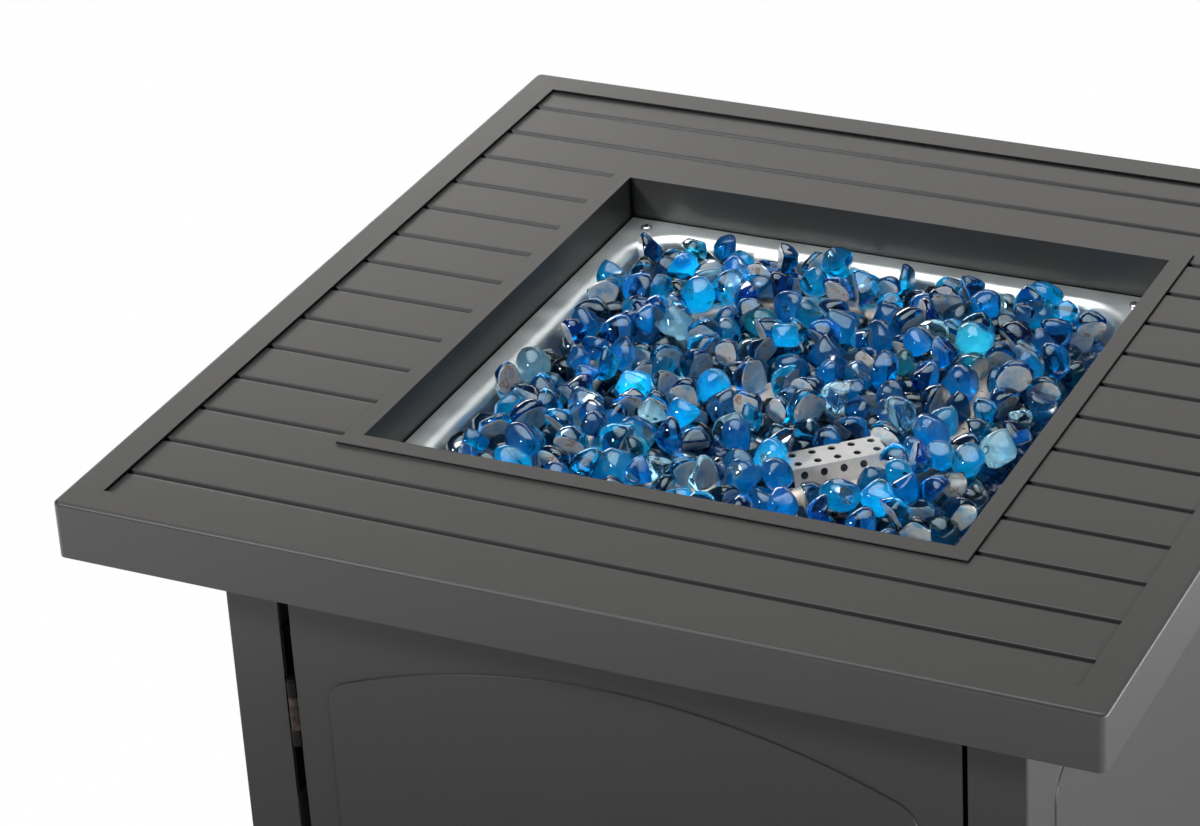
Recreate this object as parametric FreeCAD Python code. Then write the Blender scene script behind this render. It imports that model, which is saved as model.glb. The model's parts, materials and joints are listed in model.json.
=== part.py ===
import FreeCAD, Part
import math
import os
import random

# Square gas fire pit table, in millimetres.
# The origin is on the floor under the middle of the table. +Z is up, -Y is the door side.

# Tabletop rim and field
TOP_SIZE = 711.0
TOP_HEIGHT = 630.0
APRON_DEPTH = 40.6
APRON_RETURN = 12.0
BORDER_WIDTH = 24.7
TOP_SHEET = 1.0
TOP_EDGE_RADIUS = 2.5
TOP_CORNER_RADIUS = 5.0
BORDER_HEM = 10.0
FIELD_SHEET = 1.2
FIELD_EDGE_GAP = 1.0
GROOVE_COUNT = 14
GROOVE_PITCH = 46.2
GROOVE_WIDTH = 5.0
GROOVE_FLOOR = 3.0
GROOVE_DEPTH = 2.2
GROOVE_LIP = 1.0
GROOVE_LIP_DROP = 0.25
GROOVE_BEND = 0.6

# Channels under the field, and what bolts them to the cabinet
CHANNEL_WIDTH = 25.0
CHANNEL_SHEET = 1.5
TOP_FIXING_INSET = 15.0
TOP_FIXING_SPREAD = 150.0
TOP_SCREW_HEAD = 5.5
TOP_SCREW_DOME = 3.5
TOP_SCREW = 13.0

# Collar round the fire opening
OPENING_HALF = 207.1
COLLAR_FLANGE = 13.5
COLLAR_SHEET = 1.5
COLLAR_EDGE = 0.5
LEDGE_DROP = 33.5
LEDGE_INSET = 12.0

# Burner pan
PAN_SHEET = 1.0
PAN_MOUTH_HALF = 193.0
PAN_CORNER_RADIUS = 43.0
PAN_FLANGE_HALF = 206.0
PAN_DEPTH = 45.0
PAN_LIP_RADIUS = 9.0
PAN_FLOOR_RADIUS = 10.0
PAN_WALL_LEAN = 14.0
PAN_RIM = 1.0
PAN_SCREW_X = 188.0
PAN_SCREW_Y = 191.0
PAN_SCREW_HEAD = 4.2
PAN_SCREW_DOME = 2.8
PAN_SCREW = 12.0
DRAIN_RADIUS = 3.0
DRAIN_PLACE = 120.0

# Fire glass
GLASS_DEPTH = 39.5
GLASS_GAP = 0.3
DROP_PITCH = 22.5
DROP_RADIUS_MAX = 9.9
DROP_RADIUS_MIN = 8.6
DROP_FLATNESS = 0.74
DROP_TILT = 35.0
DROP_JITTER = 0.9
DROP_SPACING = 0.6
DROP_WALL_GAP = 4.0
RING_BARE_SHARE = 0.35
DROP_SIDES = 8
DROP_RINGS = ((0.6, -0.8), (1.0, 0.0), (0.6, 0.8))
DROP_REST_GAP = 0.02
DROP_SEED = 7

# Ring burner
RING_RADIUS = 137.0
RING_TUBE_RADIUS = 8.0
RING_TOP_DROP = 35.0
BURNER_WALL = 1.0
PORT_COUNT = 48
PORT_RADIUS = 1.1
SPOKE_RADIUS = 6.0
SPOKE_DROP = 2.0
HUB_RADIUS = 16.0
HUB_HEIGHT = 18.0
FEED_RADIUS = 10.5
FEED_BORE = 8.0
LEG_WIDTH = 14.0
LEG_SHEET = 1.5
LEG_FOOT = 10.0
LEG_ANGLES = (30.0, 150.0, 270.0)

# Gas line under the pan
GAS_LINE_Z = 524.0
LOCK_NUT_FLATS = 30.0
LOCK_NUT_HEIGHT = 8.0
ELBOW_RADIUS = 14.0
ELBOW_ARM_RADIUS = 13.0
ELBOW_ARM = 32.0
ELBOW_TOP = 17.0
ELBOW_SOCKET_START = 6.0
GAS_WAY_RADIUS = 7.0
MIXER_RADIUS = 9.5
MIXER_BORE = 7.5
MIXER_START = -90.0
MIXER_END = -16.0
MIXER_WINDOW = (-78.0, -60.0)
MIXER_WINDOW_HALF = 4.0
ORIFICE_TAIL = 4.0
ORIFICE_FLATS = 19.0
ORIFICE_HEX = 14.0
ORIFICE_SPIGOT = 6.0
JET_RADIUS = 0.9
HOSE_RADIUS = 6.0
HOSE_TURN_X = -150.0
HOSE_NUT_FLATS = 17.0
HOSE_NUT_HEIGHT = 11.0

# Pilot group, inside the ring on the diagonal towards the front right corner
PILOT_X = 72.7
PILOT_Y = -76.8
PILOT_ANGLE = 42.0
SHIELD_SHEET = 1.0
SHIELD_LENGTH = 66.0
SHIELD_TOP_DROP = 30.0
SHIELD_BACK = 13.0
SHIELD_FOLD = -10.5
SHIELD_SLOPE = 18.0
SHIELD_SLOPE_ANGLE = 72.0
SHIELD_FOOT = 12.0
SHIELD_ROOM = 1.0
SHIELD_HOLE_RADIUS = 2.6
SHIELD_HOLE_PITCH = 13.7
SHIELD_HOLES_A_ROW = 5
SHIELD_TOP_ROWS = (7.9, -4.1)
SHIELD_BACK_ROWS = (12.0, 24.0)
SHIELD_SLOPE_ROW = 5.0
SHIELD_SLOPE_SHIFT = 1.6
BRACKET_SHEET = 1.2
BRACKET_FRONT = -7.0
BRACKET_SCREW_X = (-26.0, 26.0)
BRACKET_SCREW_Y = 20.0
BRACKET_SCREW = 9.0
PROBE_OFFSET = 14.0
PROBE_TIP_Z = 590.0
PROBE_LOW_Z = 533.0
PROBE_SHOULDER = 2.0
PROBE_SHOULDER_HEIGHT = 3.0
INSULATOR_RADIUS = 4.5
INSULATOR_TOP = 578.0
INSULATOR_TIP = 5.0
ELECTRODE_RADIUS = 1.2
ELECTRODE_BEAK = 12.0
BEAK_RISE = 0.12
THERMOCOUPLE_RADIUS = 3.0
THERMOCOUPLE_TIP_RADIUS = 2.2
THERMOCOUPLE_TIP = 17.0

# Leads
LEAD_RADIUS = 1.5
LEAD_RUN_Z = 514.0
BEND_SHARE = 0.45
PROBE_TURN_RISE = 7.0
THERMOCOUPLE_ROUTE = ((-238, 32, 500), (-222, 62, 517), (-150, 64, 519), (-60, 40, 516), (10, 30, 520),
                      (52, -20, 522))
IGNITION_ROUTE = ((-228, -38, 512), (-170, -36, 515), (-90, -52, 514), (-15, -58, 515))

# Cabinet
CABINET_HALF = 280.5
CABINET_BOTTOM = 25.0
CABINET_TOP = 610.3
POST_SHEET = 1.5
POST_SIDE_FLANGE = 36.0
POST_LIP = 29.5
POST_EDGE_RADIUS = 2.0
DOORWAY_HALF = 241.5
PANEL_SHEET = 1.2
PANEL_HALF = 262.0
FIELD_RAISE = 1.0
FIELD_BEVEL = 0.8
FIELD_BOTTOM = 75.0
FIELD_RISE = 43.0
FIELD_CORNER = 22.0
SIDE_FIELD_HALF = 228.0
SIDE_FIELD_PEAK = 526.0
DOOR_FIELD_HALF = 209.0
DOOR_FIELD_PEAK = 521.0
RAIL_WIDTH = 25.5
RAIL_SHEET = 1.5
BACK_RAIL_HALF = 250.0
STUD_LENGTH = 8.0
STUD_INSET = 254.0
STUD_HEIGHTS = (36.0, 220.0, 405.0, 598.0)
STUD_NUT_FLATS = 7.0
STUD_NUT_HEIGHT = 3.2
NUT_CLEARANCE = 0.05
VENT_ROWS = 3
VENT_COLUMNS = 5
VENT_ROW_PITCH = 16.0
VENT_COLUMN_PITCH = 66.0
VENT_Z = 110.0
VENT_HALF_LENGTH = 22.0
VENT_HALF_HEIGHT = 3.0

# Base, tank seat and feet
BASE_SHEET = 1.5
BASE_FRONT = -251.0
BASE_FLANGE = 18.5
BASE_FRONT_FLANGE_HALF = 235.0
BASE_SLOT_X = (-170.0, 0.0, 170.0)
BASE_SLOT_Y = 190.0
BASE_SLOT_HALF_LENGTH = 30.0
BASE_SLOT_HALF_WIDTH = 4.0
SEAT_RADIUS = 103.0
SEAT_SHEET = 1.5
SEAT_DEPTH = 12.0
SEAT_RIM = 14.0
SEAT_LEDGE = 16.0
FOOT_PLACE = 240.0
FOOT_RADIUS = 20.0
FOOT_TIP_RADIUS = 16.0
FOOT_RECESS_RADIUS = 6.5
FOOT_RECESS = 12.0
FOOT_SOLE_EDGE = 1.5
FOOT_SCREW_HEAD = 5.0
FOOT_SCREW_DOME = 3.5
FOOT_SCREW = 20.0
FOOT_NUT_FLATS = 8.0
FOOT_NUT_HEIGHT = 4.0

# Heat shield between the cylinder and the burner
HEAT_SHIELD_Z = 508.0
HEAT_SHIELD_SHEET = 1.0
HEAT_SHIELD_FLANGE = 12.0
HEAT_SHIELD_FRONT = -250.0
HEAT_SHIELD_CORNER = 22.0
HEAT_SHIELD_NOTCH_X = -214.0
HEAT_SHIELD_NOTCH_HALF = 150.0

# Door
DOOR_LEFT = -232.9
DOOR_RIGHT = 238.0
DOOR_BOTTOM = 46.5
DOOR_TOP = 571.5
DOOR_DEPTH = 18.0
DOOR_SHEET = 1.2
DOOR_LIP = 12.0
LINER_SCREW_INSET = 7.0
LINER_SCREW_END = 30.0
LINER_SCREW = 5.0
TOP_RAIL_BOTTOM = 574.5
BOTTOM_RAIL_TOP = 43.5
HANDLE_X = 223.5
HANDLE_Z = 330.0
HANDLE_BASE_RADIUS = 10.0
HANDLE_BASE = 2.0
HANDLE_NECK_RADIUS = 6.5
HANDLE_NECK = 14.0
HANDLE_CAP_RADIUS = 13.0
HANDLE_CAP = 10.0
HANDLE_ROUNDING = 2.5
HANDLE_SOCKET = 12.0
HANDLE_SCREW = 11.0
CATCH_LEFT = 223.0
CATCH_Z = (265.0, 295.0)
CATCH_DEPTH = 15.0
CATCH_GAP = 0.3

# Door hinges
HINGE_X = -237.2
HINGE_Y = -279.0
HINGE_HEIGHTS = (450.0, 167.5)
HINGE_LEAF_HEIGHT = 130.0
HINGE_LEAF = 1.2
FRAME_LEAF_BACK = -255.0
KNUCKLE_RADIUS = 3.5
DOOR_KNUCKLE = 26.0
FRAME_KNUCKLE = 12.0
KNUCKLE_GAP = 0.3
PIN_RADIUS = 2.0
PIN_CLEARANCE = 0.05
PIN_HEAD = 1.6
PIN_HEAD_EDGE = 0.8
HINGE_SCREW_SPREAD = 55.0
HINGE_SCREW = 7.0
FRAME_HINGE_SCREW_Y = -263.0
DOOR_HINGE_SCREW_Y = -271.0

# Controls on the left side
CONTROL_Z = 440.0
CONTROL_PLATE = 1.6
CONTROL_HALF_WIDTH = 80.0
CONTROL_HALF_HEIGHT = 45.0
CONTROL_CORNER = 8.0
CONTROL_SCREW_Y = 71.0
CONTROL_SCREW_Z = 36.0
CONTROL_SCREW = 8.0
WINDOW_HALF_WIDTH = 58.0
WINDOW_HALF_HEIGHT = 27.0
WINDOW_CORNER = 6.0
STEM_HOLE_RADIUS = 5.5
KNOB_Y = 32.0
IGNITER_Y = -38.0

# Gas valve, from the plate inwards
BONNET_BACK = -266.0
VALVE_BACK = -230.0
VALVE_HALF_WIDTH = 16.0
VALVE_HALF_HEIGHT = 15.0
VALVE_SCREW_Y = 11.5
VALVE_SCREW_Z = 10.5
VALVE_SCREW = 24.0
VALVE_SCREW_POCKET = 11.0
OUTLET_X = -256.0
OUTLET_RADIUS = 7.5
OUTLET_RISE = 11.0
INLET_BOSS_RADIUS = 9.0
INLET_BOSS_DROP = 11.0
PROBE_PORT_X = -238.0
PROBE_PORT_RADIUS = 4.5
PROBE_PORT_RISE = 7.0
VALVE_WAY_RADIUS = 2.5
PLUG_RADIUS = 7.0
PLUG_END = -242.0
PLUG_END_GAP = 0.1
PLUG_WAY_RADIUS = 2.2
STEM_RADIUS = 4.0
STEM_FLAT = 2.8
STEM_CLEARANCE = 0.05
STEM_FRONT = -301.0
STEM_SHOULDER = -270.0
STEM_END = -252.0
STEM_SOCKET = 20.0
SPRING_ROOM_RADIUS = 6.5
SPRING_ROOM = 8.0
INLET_RADIUS = 7.94
INLET_HEX_FLATS = 19.0
INLET_HEX = 8.0
INLET_NOSE = 16.0
INLET_TIP = 4.0
INLET_TIP_RADIUS = 4.5

# Control knob
KNOB_RADIUS = 26.0
KNOB_BACK = -289.0
KNOB_FRONT = -312.0
KNOB_SKIRT = 7.0
KNOB_SKIRT_EDGE = 2.0
KNOB_CROWN_RADIUS = 21.0
KNOB_SCOOP_PLACE = 24.0
KNOB_SCOOP_RADIUS = 17.0
KNOB_SCOOP_FLOOR = 1.5
KNOB_HOLLOW = 4.0
KNOB_POST_RADIUS = 7.5
POINTER_HALF = 1.0
POINTER_DEPTH = 2.0
POINTER_START = 6.0

# Igniter
IGNITER_RADIUS = 12.0
IGNITER_FLANGE_RADIUS = 17.0
IGNITER_FLANGE = 2.0
IGNITER_BACK = -216.0
IGNITER_END_WALL = 4.0
IGNITER_NUT_FLATS = 32.0
IGNITER_NUT_HEIGHT = 6.0
SPARK_PORT_X = -228.0
SPARK_PORT_RADIUS = 3.0
SPARK_PORT_RISE = 5.0
BUTTON_RADIUS = 9.9
BUTTON_FRONT = -292.0
BUTTON_BACK = -279.0
BUTTON_EDGE = 1.8
BUTTON_DISH_RADIUS = 40.0
BUTTON_DISH_DEPTH = 0.8
BATTERY_RADIUS = 7.2
BATTERY_LENGTH = 50.5
BATTERY_NUB_RADIUS = 2.75
BATTERY_NUB = 1.5

# Room round small bodies, how far cutting tools run past what they cut, and what counts as touching
SMALL_GAP = 0.3
CUT = 1.0
NEAR = 0.01

# Screws: shank radius, and hole radius where the shank passes freely
M4 = 2.0
M4_HOLE = 2.15
M4_HEAD = 3.5
M4_DOME = 2.2
M4_FLAT_HEAD = 3.2
M4_FLAT_DOME = 1.8
M5 = 2.5
M5_HOLE = 2.8
M6 = 3.0
M6_HOLE = 3.2
DRIVER_HOLE = 6.5
HEAD_ROUNDING = 0.45

# Sizes that follow from those above
V = FreeCAD.Vector
ORIGIN = V(0, 0, 0)
X_AXIS = V(1, 0, 0)
Y_AXIS = V(0, 1, 0)
Z_AXIS = V(0, 0, 1)
TOP_HALF = TOP_SIZE / 2
BORDER_IN = TOP_HALF - BORDER_WIDTH
FIELD_TOP = TOP_HEIGHT - 2 * TOP_SHEET
FIELD_UNDER = FIELD_TOP - FIELD_SHEET
GROOVE_UNDER = FIELD_UNDER - GROOVE_DEPTH
COLLAR_TOP = FIELD_TOP + COLLAR_SHEET
LEDGE_TOP = TOP_HEIGHT - LEDGE_DROP
PAN_TOP = LEDGE_TOP + PAN_SHEET
PAN_FLOOR = PAN_TOP - PAN_DEPTH
PAN_UNDER = PAN_FLOOR - PAN_SHEET
PAN_AXIS = PAN_MOUTH_HALF - PAN_CORNER_RADIUS
RING_Z = TOP_HEIGHT - RING_TOP_DROP - RING_TUBE_RADIUS
SPOKE_Z = RING_Z - SPOKE_DROP
GLASS_TOP = PAN_FLOOR + GLASS_DEPTH
SHIELD_TOP = TOP_HEIGHT - SHIELD_TOP_DROP
RING_TOP = TOP_HEIGHT - RING_TOP_DROP
HUB_TOP = RING_TOP - SPOKE_DROP
SHIELD_FOOT_TOP = PAN_FLOOR + BRACKET_SHEET + SHIELD_SHEET
POST_INNER = CABINET_HALF - POST_SHEET
PANEL_INNER = POST_INNER - PANEL_SHEET
BASE_TOP = CABINET_BOTTOM + BASE_SHEET
DOOR_BACK = -CABINET_HALF + DOOR_DEPTH
PLATE_BACK = -POST_INNER - FIELD_RAISE
PLATE_FRONT = PLATE_BACK - CONTROL_PLATE
VALVE_TOP = CONTROL_Z + VALVE_HALF_HEIGHT
OUTLET_TOP = VALVE_TOP + OUTLET_RISE
PROBE_PORT_TOP = VALVE_TOP + PROBE_PORT_RISE
INLET_SEAT = CONTROL_Z - VALVE_HALF_HEIGHT - INLET_BOSS_DROP
SPARK_PORT_TOP = CONTROL_Z + IGNITER_RADIUS + SPARK_PORT_RISE
ORIFICE_START = MIXER_START - ORIFICE_HEX - ORIFICE_TAIL
BEAK_WAY = V(0, -1, BEAK_RISE)
BATTERY_FRONT = IGNITER_BACK - IGNITER_END_WALL - BATTERY_LENGTH


# Shape helpers

def box(x0, x1, y0, y1, z0, z1):
    corner = V(min(x0, x1), min(y0, y1), min(z0, z1))
    return Part.makeBox(abs(x1 - x0), abs(y1 - y0), abs(z1 - z0), corner)


def rod(x, y, z, radius, length, axis=Z_AXIS):
    return Part.makeCylinder(radius, length, V(x, y, z), axis)


def hole(x, y, z, radius, depth, axis=Z_AXIS):
    """A cutting rod through a sheet that starts at the point and is depth thick."""
    start = V(x, y, z) - axis * CUT
    return Part.makeCylinder(radius, depth + 2 * CUT, start, axis)


def fuse(pieces):
    return pieces[0].multiFuse(pieces[1:]).removeSplitter()


def cut(shape, tools):
    return shape.cut(Part.makeCompound(tools)).removeSplitter()


def polygon_prism(points, push):
    wire = Part.makePolygon(points + [points[0]])
    return Part.Face(wire).extrude(push)


def hex_prism(centre, flats, height, axis):
    side = X_AXIS if abs(axis.z) > 0.5 else Z_AXIS
    other = axis.cross(side)
    reach = flats / math.sqrt(3)
    points = []
    for step in range(6):
        turn = math.radians(60 * step)
        points.append(centre + side * (reach * math.cos(turn)) + other * (reach * math.sin(turn)))
    return polygon_prism(points, axis * height)


def hex_nut(centre, flats, height, bore, axis):
    return hex_prism(centre, flats, height, axis).cut(Part.makeCylinder(bore, height, centre, axis))


def rounded_block(half_x, half_y, radius, z0, z1):
    block = box(-half_x, half_x, -half_y, half_y, z0, z1)
    uprights = [edge for edge in block.Edges if edge.BoundBox.ZLength > z1 - z0 - NEAR]
    return block.makeFillet(radius, uprights)


def slot(half_length, half_width, depth):
    """A cutting tool for a slot along X with round ends, in a sheet that is depth thick from z = 0."""
    bar = box(-half_length, half_length, -half_width, half_width, -CUT, depth + CUT)
    corners = [edge for edge in bar.Edges if edge.BoundBox.ZLength > depth]
    return bar.makeFillet(half_width - NEAR, corners)


def top_edges(shape, level):
    return [edge for edge in shape.Edges if edge.BoundBox.ZMin > level - NEAR]


def front_edges(shape, x):
    return [edge for edge in shape.Edges if edge.BoundBox.XMax < x + NEAR]


def round_head_screw(point, axis, head_radius, head_height, shank_radius, shank_length):
    """A screw whose head sits on point; axis points from the head along the shank."""
    head = Part.makeCylinder(head_radius, head_height, point, axis * -1)
    crown = point - axis * head_height
    rim = [edge for edge in head.Edges if (edge.BoundBox.Center - crown).Length < NEAR]
    head = head.makeFillet(head_height * HEAD_ROUNDING, rim)
    return head.fuse(Part.makeCylinder(shank_radius, shank_length, point, axis))


def m4_screw(point, axis, length):
    return round_head_screw(point, axis, M4_HEAD, M4_DOME, M4, length)


def flat_m4_screw(point, axis, length):
    return round_head_screw(point, axis, M4_FLAT_HEAD, M4_FLAT_DOME, M4, length)


def tube_along(name, points, radius):
    """A round line on straight runs with tangent arcs as large as the runs allow."""
    corners = [V(*point) for point in points]
    edges = []
    radii = []
    start = corners[0]
    for before, here, after in zip(corners, corners[1:], corners[2:]):
        way_in = (here - before).normalize()
        way_out = (after - here).normalize()
        half_turn = way_in.getAngle(way_out) / 2
        reach = BEND_SHARE * min((here - before).Length, (after - here).Length)
        radii.append(reach / math.tan(half_turn))
        enter = here - way_in * reach
        leave = here + way_out * reach
        inset = radii[-1] / math.cos(half_turn) - radii[-1]
        middle = here + (way_out - way_in).normalize() * inset
        edges.append(Part.LineSegment(start, enter).toShape())
        edges.append(Part.Arc(enter, middle, leave).toShape())
        start = leave
    edges.append(Part.LineSegment(start, corners[-1]).toShape())
    path = Part.Wire(edges)
    ring = Part.Wire(Part.Circle(corners[0], corners[1] - corners[0], radius).toShape())
    tube = path.makePipeShell([ring], True, False)
    plain_volume = math.pi * radius ** 2 * path.Length
    print(name, "is", round(path.Length), "mm long, arc radii", [round(r, 1) for r in radii],
          "volume ratio", round(tube.Volume / plain_volume, 4))
    return tube


def save(node, solids):
    """Write one node, a single solid or a list of them, and name it if a solid is faulty."""
    shape = Part.makeCompound(solids) if isinstance(solids, list) else solids
    shape.exportStep(os.path.join("parts", node + ".step"))
    if not shape.isValid() or not shape.Solids:
        print("CHECK", node, "valid", shape.isValid(), "solids", len(shape.Solids))


# Tabletop

def top_border_frame():
    low = TOP_HEIGHT - APRON_DEPTH
    outer = rounded_block(TOP_HALF, TOP_HALF, TOP_CORNER_RADIUS, low, TOP_HEIGHT)
    outer = outer.makeFillet(TOP_EDGE_RADIUS, top_edges(outer, TOP_HEIGHT))
    wall = TOP_HALF - TOP_SHEET
    roof = TOP_HEIGHT - TOP_SHEET
    hollow = rounded_block(wall, wall, TOP_CORNER_RADIUS - TOP_SHEET, low + TOP_SHEET, roof)
    hollow = hollow.makeFillet(TOP_EDGE_RADIUS - TOP_SHEET, top_edges(hollow, roof))
    mouth = wall - APRON_RETURN
    under = box(-mouth, mouth, -mouth, mouth, low - CUT, low + TOP_SHEET + CUT)
    window = box(-BORDER_IN, BORDER_IN, -BORDER_IN, BORDER_IN, FIELD_TOP - CUT, TOP_HEIGHT + CUT)
    frame = cut(outer, [hollow, under, window])
    hem_out = BORDER_IN + BORDER_HEM
    hem = box(-hem_out, hem_out, -hem_out, hem_out, FIELD_TOP, roof)
    return fuse([frame, hem.cut(window)])


def groove_profile(width, floor, level):
    """Points of the pressed sheet's top or underside in a YZ plane, from one side to the other."""
    points = []
    for number in range(GROOVE_COUNT):
        y = (number - (GROOVE_COUNT - 1) / 2) * GROOVE_PITCH
        points.append((y - width / 2 - GROOVE_LIP, level))
        points.append((y - width / 2, level - GROOVE_LIP_DROP))
        points.append((y - floor / 2, level - GROOVE_DEPTH))
        points.append((y + floor / 2, level - GROOVE_DEPTH))
        points.append((y + width / 2, level - GROOVE_LIP_DROP))
        points.append((y + width / 2 + GROOVE_LIP, level))
    return points


def slatted_top_panel():
    reach = TOP_HALF - TOP_SHEET - FIELD_EDGE_GAP
    bend = 2 * GROOVE_BEND
    upper = [(-reach, FIELD_TOP)] + groove_profile(GROOVE_WIDTH, GROOVE_FLOOR, FIELD_TOP)
    lower = [(-reach, FIELD_UNDER)] + groove_profile(GROOVE_WIDTH + bend, GROOVE_FLOOR + bend, FIELD_UNDER)
    outline = upper + [(reach, FIELD_TOP), (reach, FIELD_UNDER)] + lower[::-1]
    sheet = polygon_prism([V(-reach, y, z) for y, z in outline], V(2 * reach, 0, 0))
    trim = rounded_block(reach, reach, TOP_CORNER_RADIUS, GROOVE_UNDER - CUT, TOP_HEIGHT)
    room = OPENING_HALF + COLLAR_SHEET + FIELD_EDGE_GAP
    opening = box(-room, room, -room, room, GROOVE_UNDER - CUT, TOP_HEIGHT)
    return cut(sheet.common(trim), [opening])


def pan_screw_places():
    return [(x, y) for x in (-PAN_SCREW_X, PAN_SCREW_X) for y in (-PAN_SCREW_Y, PAN_SCREW_Y)]


def fire_opening_collar():
    flange = OPENING_HALF + COLLAR_FLANGE
    wall = OPENING_HALF + COLLAR_SHEET
    ledge_under = LEDGE_TOP - COLLAR_SHEET
    rim = box(-flange, flange, -flange, flange, FIELD_TOP, COLLAR_TOP)
    rim = rim.makeChamfer(COLLAR_EDGE, top_edges(rim, COLLAR_TOP))
    tub = box(-wall, wall, -wall, wall, ledge_under, FIELD_TOP)
    inside = box(-OPENING_HALF, OPENING_HALF, -OPENING_HALF, OPENING_HALF, LEDGE_TOP, COLLAR_TOP + CUT)
    ledge_half = OPENING_HALF - LEDGE_INSET
    ledge_hole = rounded_block(ledge_half, ledge_half, ledge_half - PAN_AXIS, ledge_under - CUT,
                               LEDGE_TOP + CUT)
    screw_holes = [hole(x, y, ledge_under, M5, COLLAR_SHEET) for x, y in pan_screw_places()]
    return cut(rim.fuse(tub), [inside, ledge_hole] + screw_holes)


def top_fixing_places():
    inset = CABINET_HALF - TOP_FIXING_INSET
    places = [(side * inset, along) for side in (-1, 1) for along in (-TOP_FIXING_SPREAD, TOP_FIXING_SPREAD)]
    return places + [(y, x) for x, y in places]


def top_channel(x0, x1, y0, y1):
    block = box(x0, x1, y0, y1, CABINET_TOP, GROOVE_UNDER)
    wall_x = CHANNEL_SHEET if x1 - x0 < y1 - y0 else -CUT
    wall_y = -CUT if x1 - x0 < y1 - y0 else CHANNEL_SHEET
    hollow = box(x0 + wall_x, x1 - wall_x, y0 + wall_y, y1 - wall_y, CABINET_TOP + CHANNEL_SHEET,
                 GROOVE_UNDER - CHANNEL_SHEET)
    holes = [hole(x, y, CABINET_TOP, M6, CHANNEL_SHEET) for x, y in top_fixing_places()]
    return cut(block, [hollow] + holes)


def top_stiffeners():
    outer = PANEL_INNER
    inner = outer - CHANNEL_WIDTH
    end = inner - FIELD_EDGE_GAP
    return [top_channel(-outer, -inner, -outer, outer),
            top_channel(inner, outer, -outer, outer),
            top_channel(-end, end, -outer, -inner),
            top_channel(-end, end, inner, outer)]


def top_fixing_screws():
    seat = CABINET_TOP - RAIL_SHEET
    return [round_head_screw(V(x, y, seat), Z_AXIS, TOP_SCREW_HEAD, TOP_SCREW_DOME, M6, TOP_SCREW)
            for x, y in top_fixing_places()]


# Burner pan and fire glass

def pan_line(offset):
    """Ends and middles of the pan's inside line, moved by offset into the bowl, from mouth to floor.

    X is measured outwards from the upright axis of a corner."""
    lean = math.radians(PAN_WALL_LEAN)
    square = math.radians(90)
    lip = PAN_LIP_RADIUS + offset
    bend = PAN_FLOOR_RADIUS - offset
    lip_centre = V(PAN_CORNER_RADIUS, 0, PAN_TOP - PAN_LIP_RADIUS)
    lip_half_way = (3 * square - lean) / 2
    lip_start = lip_centre + V(0, 0, lip)
    lip_middle = lip_centre + V(lip * math.cos(lip_half_way), 0, lip * math.sin(lip_half_way))
    lip_end = lip_centre + V(-lip * math.cos(lean), 0, lip * math.sin(lean))
    wall_low_z = PAN_FLOOR + PAN_FLOOR_RADIUS - bend * math.sin(lean)
    wall_low = lip_end - V(math.tan(lean), 0, 1) * (lip_end.z - wall_low_z)
    bend_centre = wall_low + V(-bend * math.cos(lean), 0, bend * math.sin(lean))
    bend_half_way = -(lean + square) / 2
    bend_middle = bend_centre + V(bend * math.cos(bend_half_way), 0, bend * math.sin(bend_half_way))
    bend_end = bend_centre - V(0, 0, bend)
    return lip_start, lip_middle, lip_end, wall_low, bend_middle, bend_end


def swept_round_square(face):
    """Sweep a face drawn in the XZ plane round a square with rounded corners."""
    pieces = []
    for quarter in range(4):
        straight = face.extrude(V(0, 2 * PAN_AXIS, 0))
        straight.translate(V(PAN_AXIS, -PAN_AXIS, 0))
        corner = face.revolve(ORIGIN, Z_AXIS, 90)
        corner.translate(V(PAN_AXIS, PAN_AXIS, 0))
        for piece in (straight, corner):
            piece.rotate(ORIGIN, Z_AXIS, 90 * quarter)
            pieces.append(piece)
    return pieces


def line(start, end):
    return Part.LineSegment(start, end).toShape()


def arc(start, middle, end):
    return Part.Arc(start, middle, end).toShape()


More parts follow.
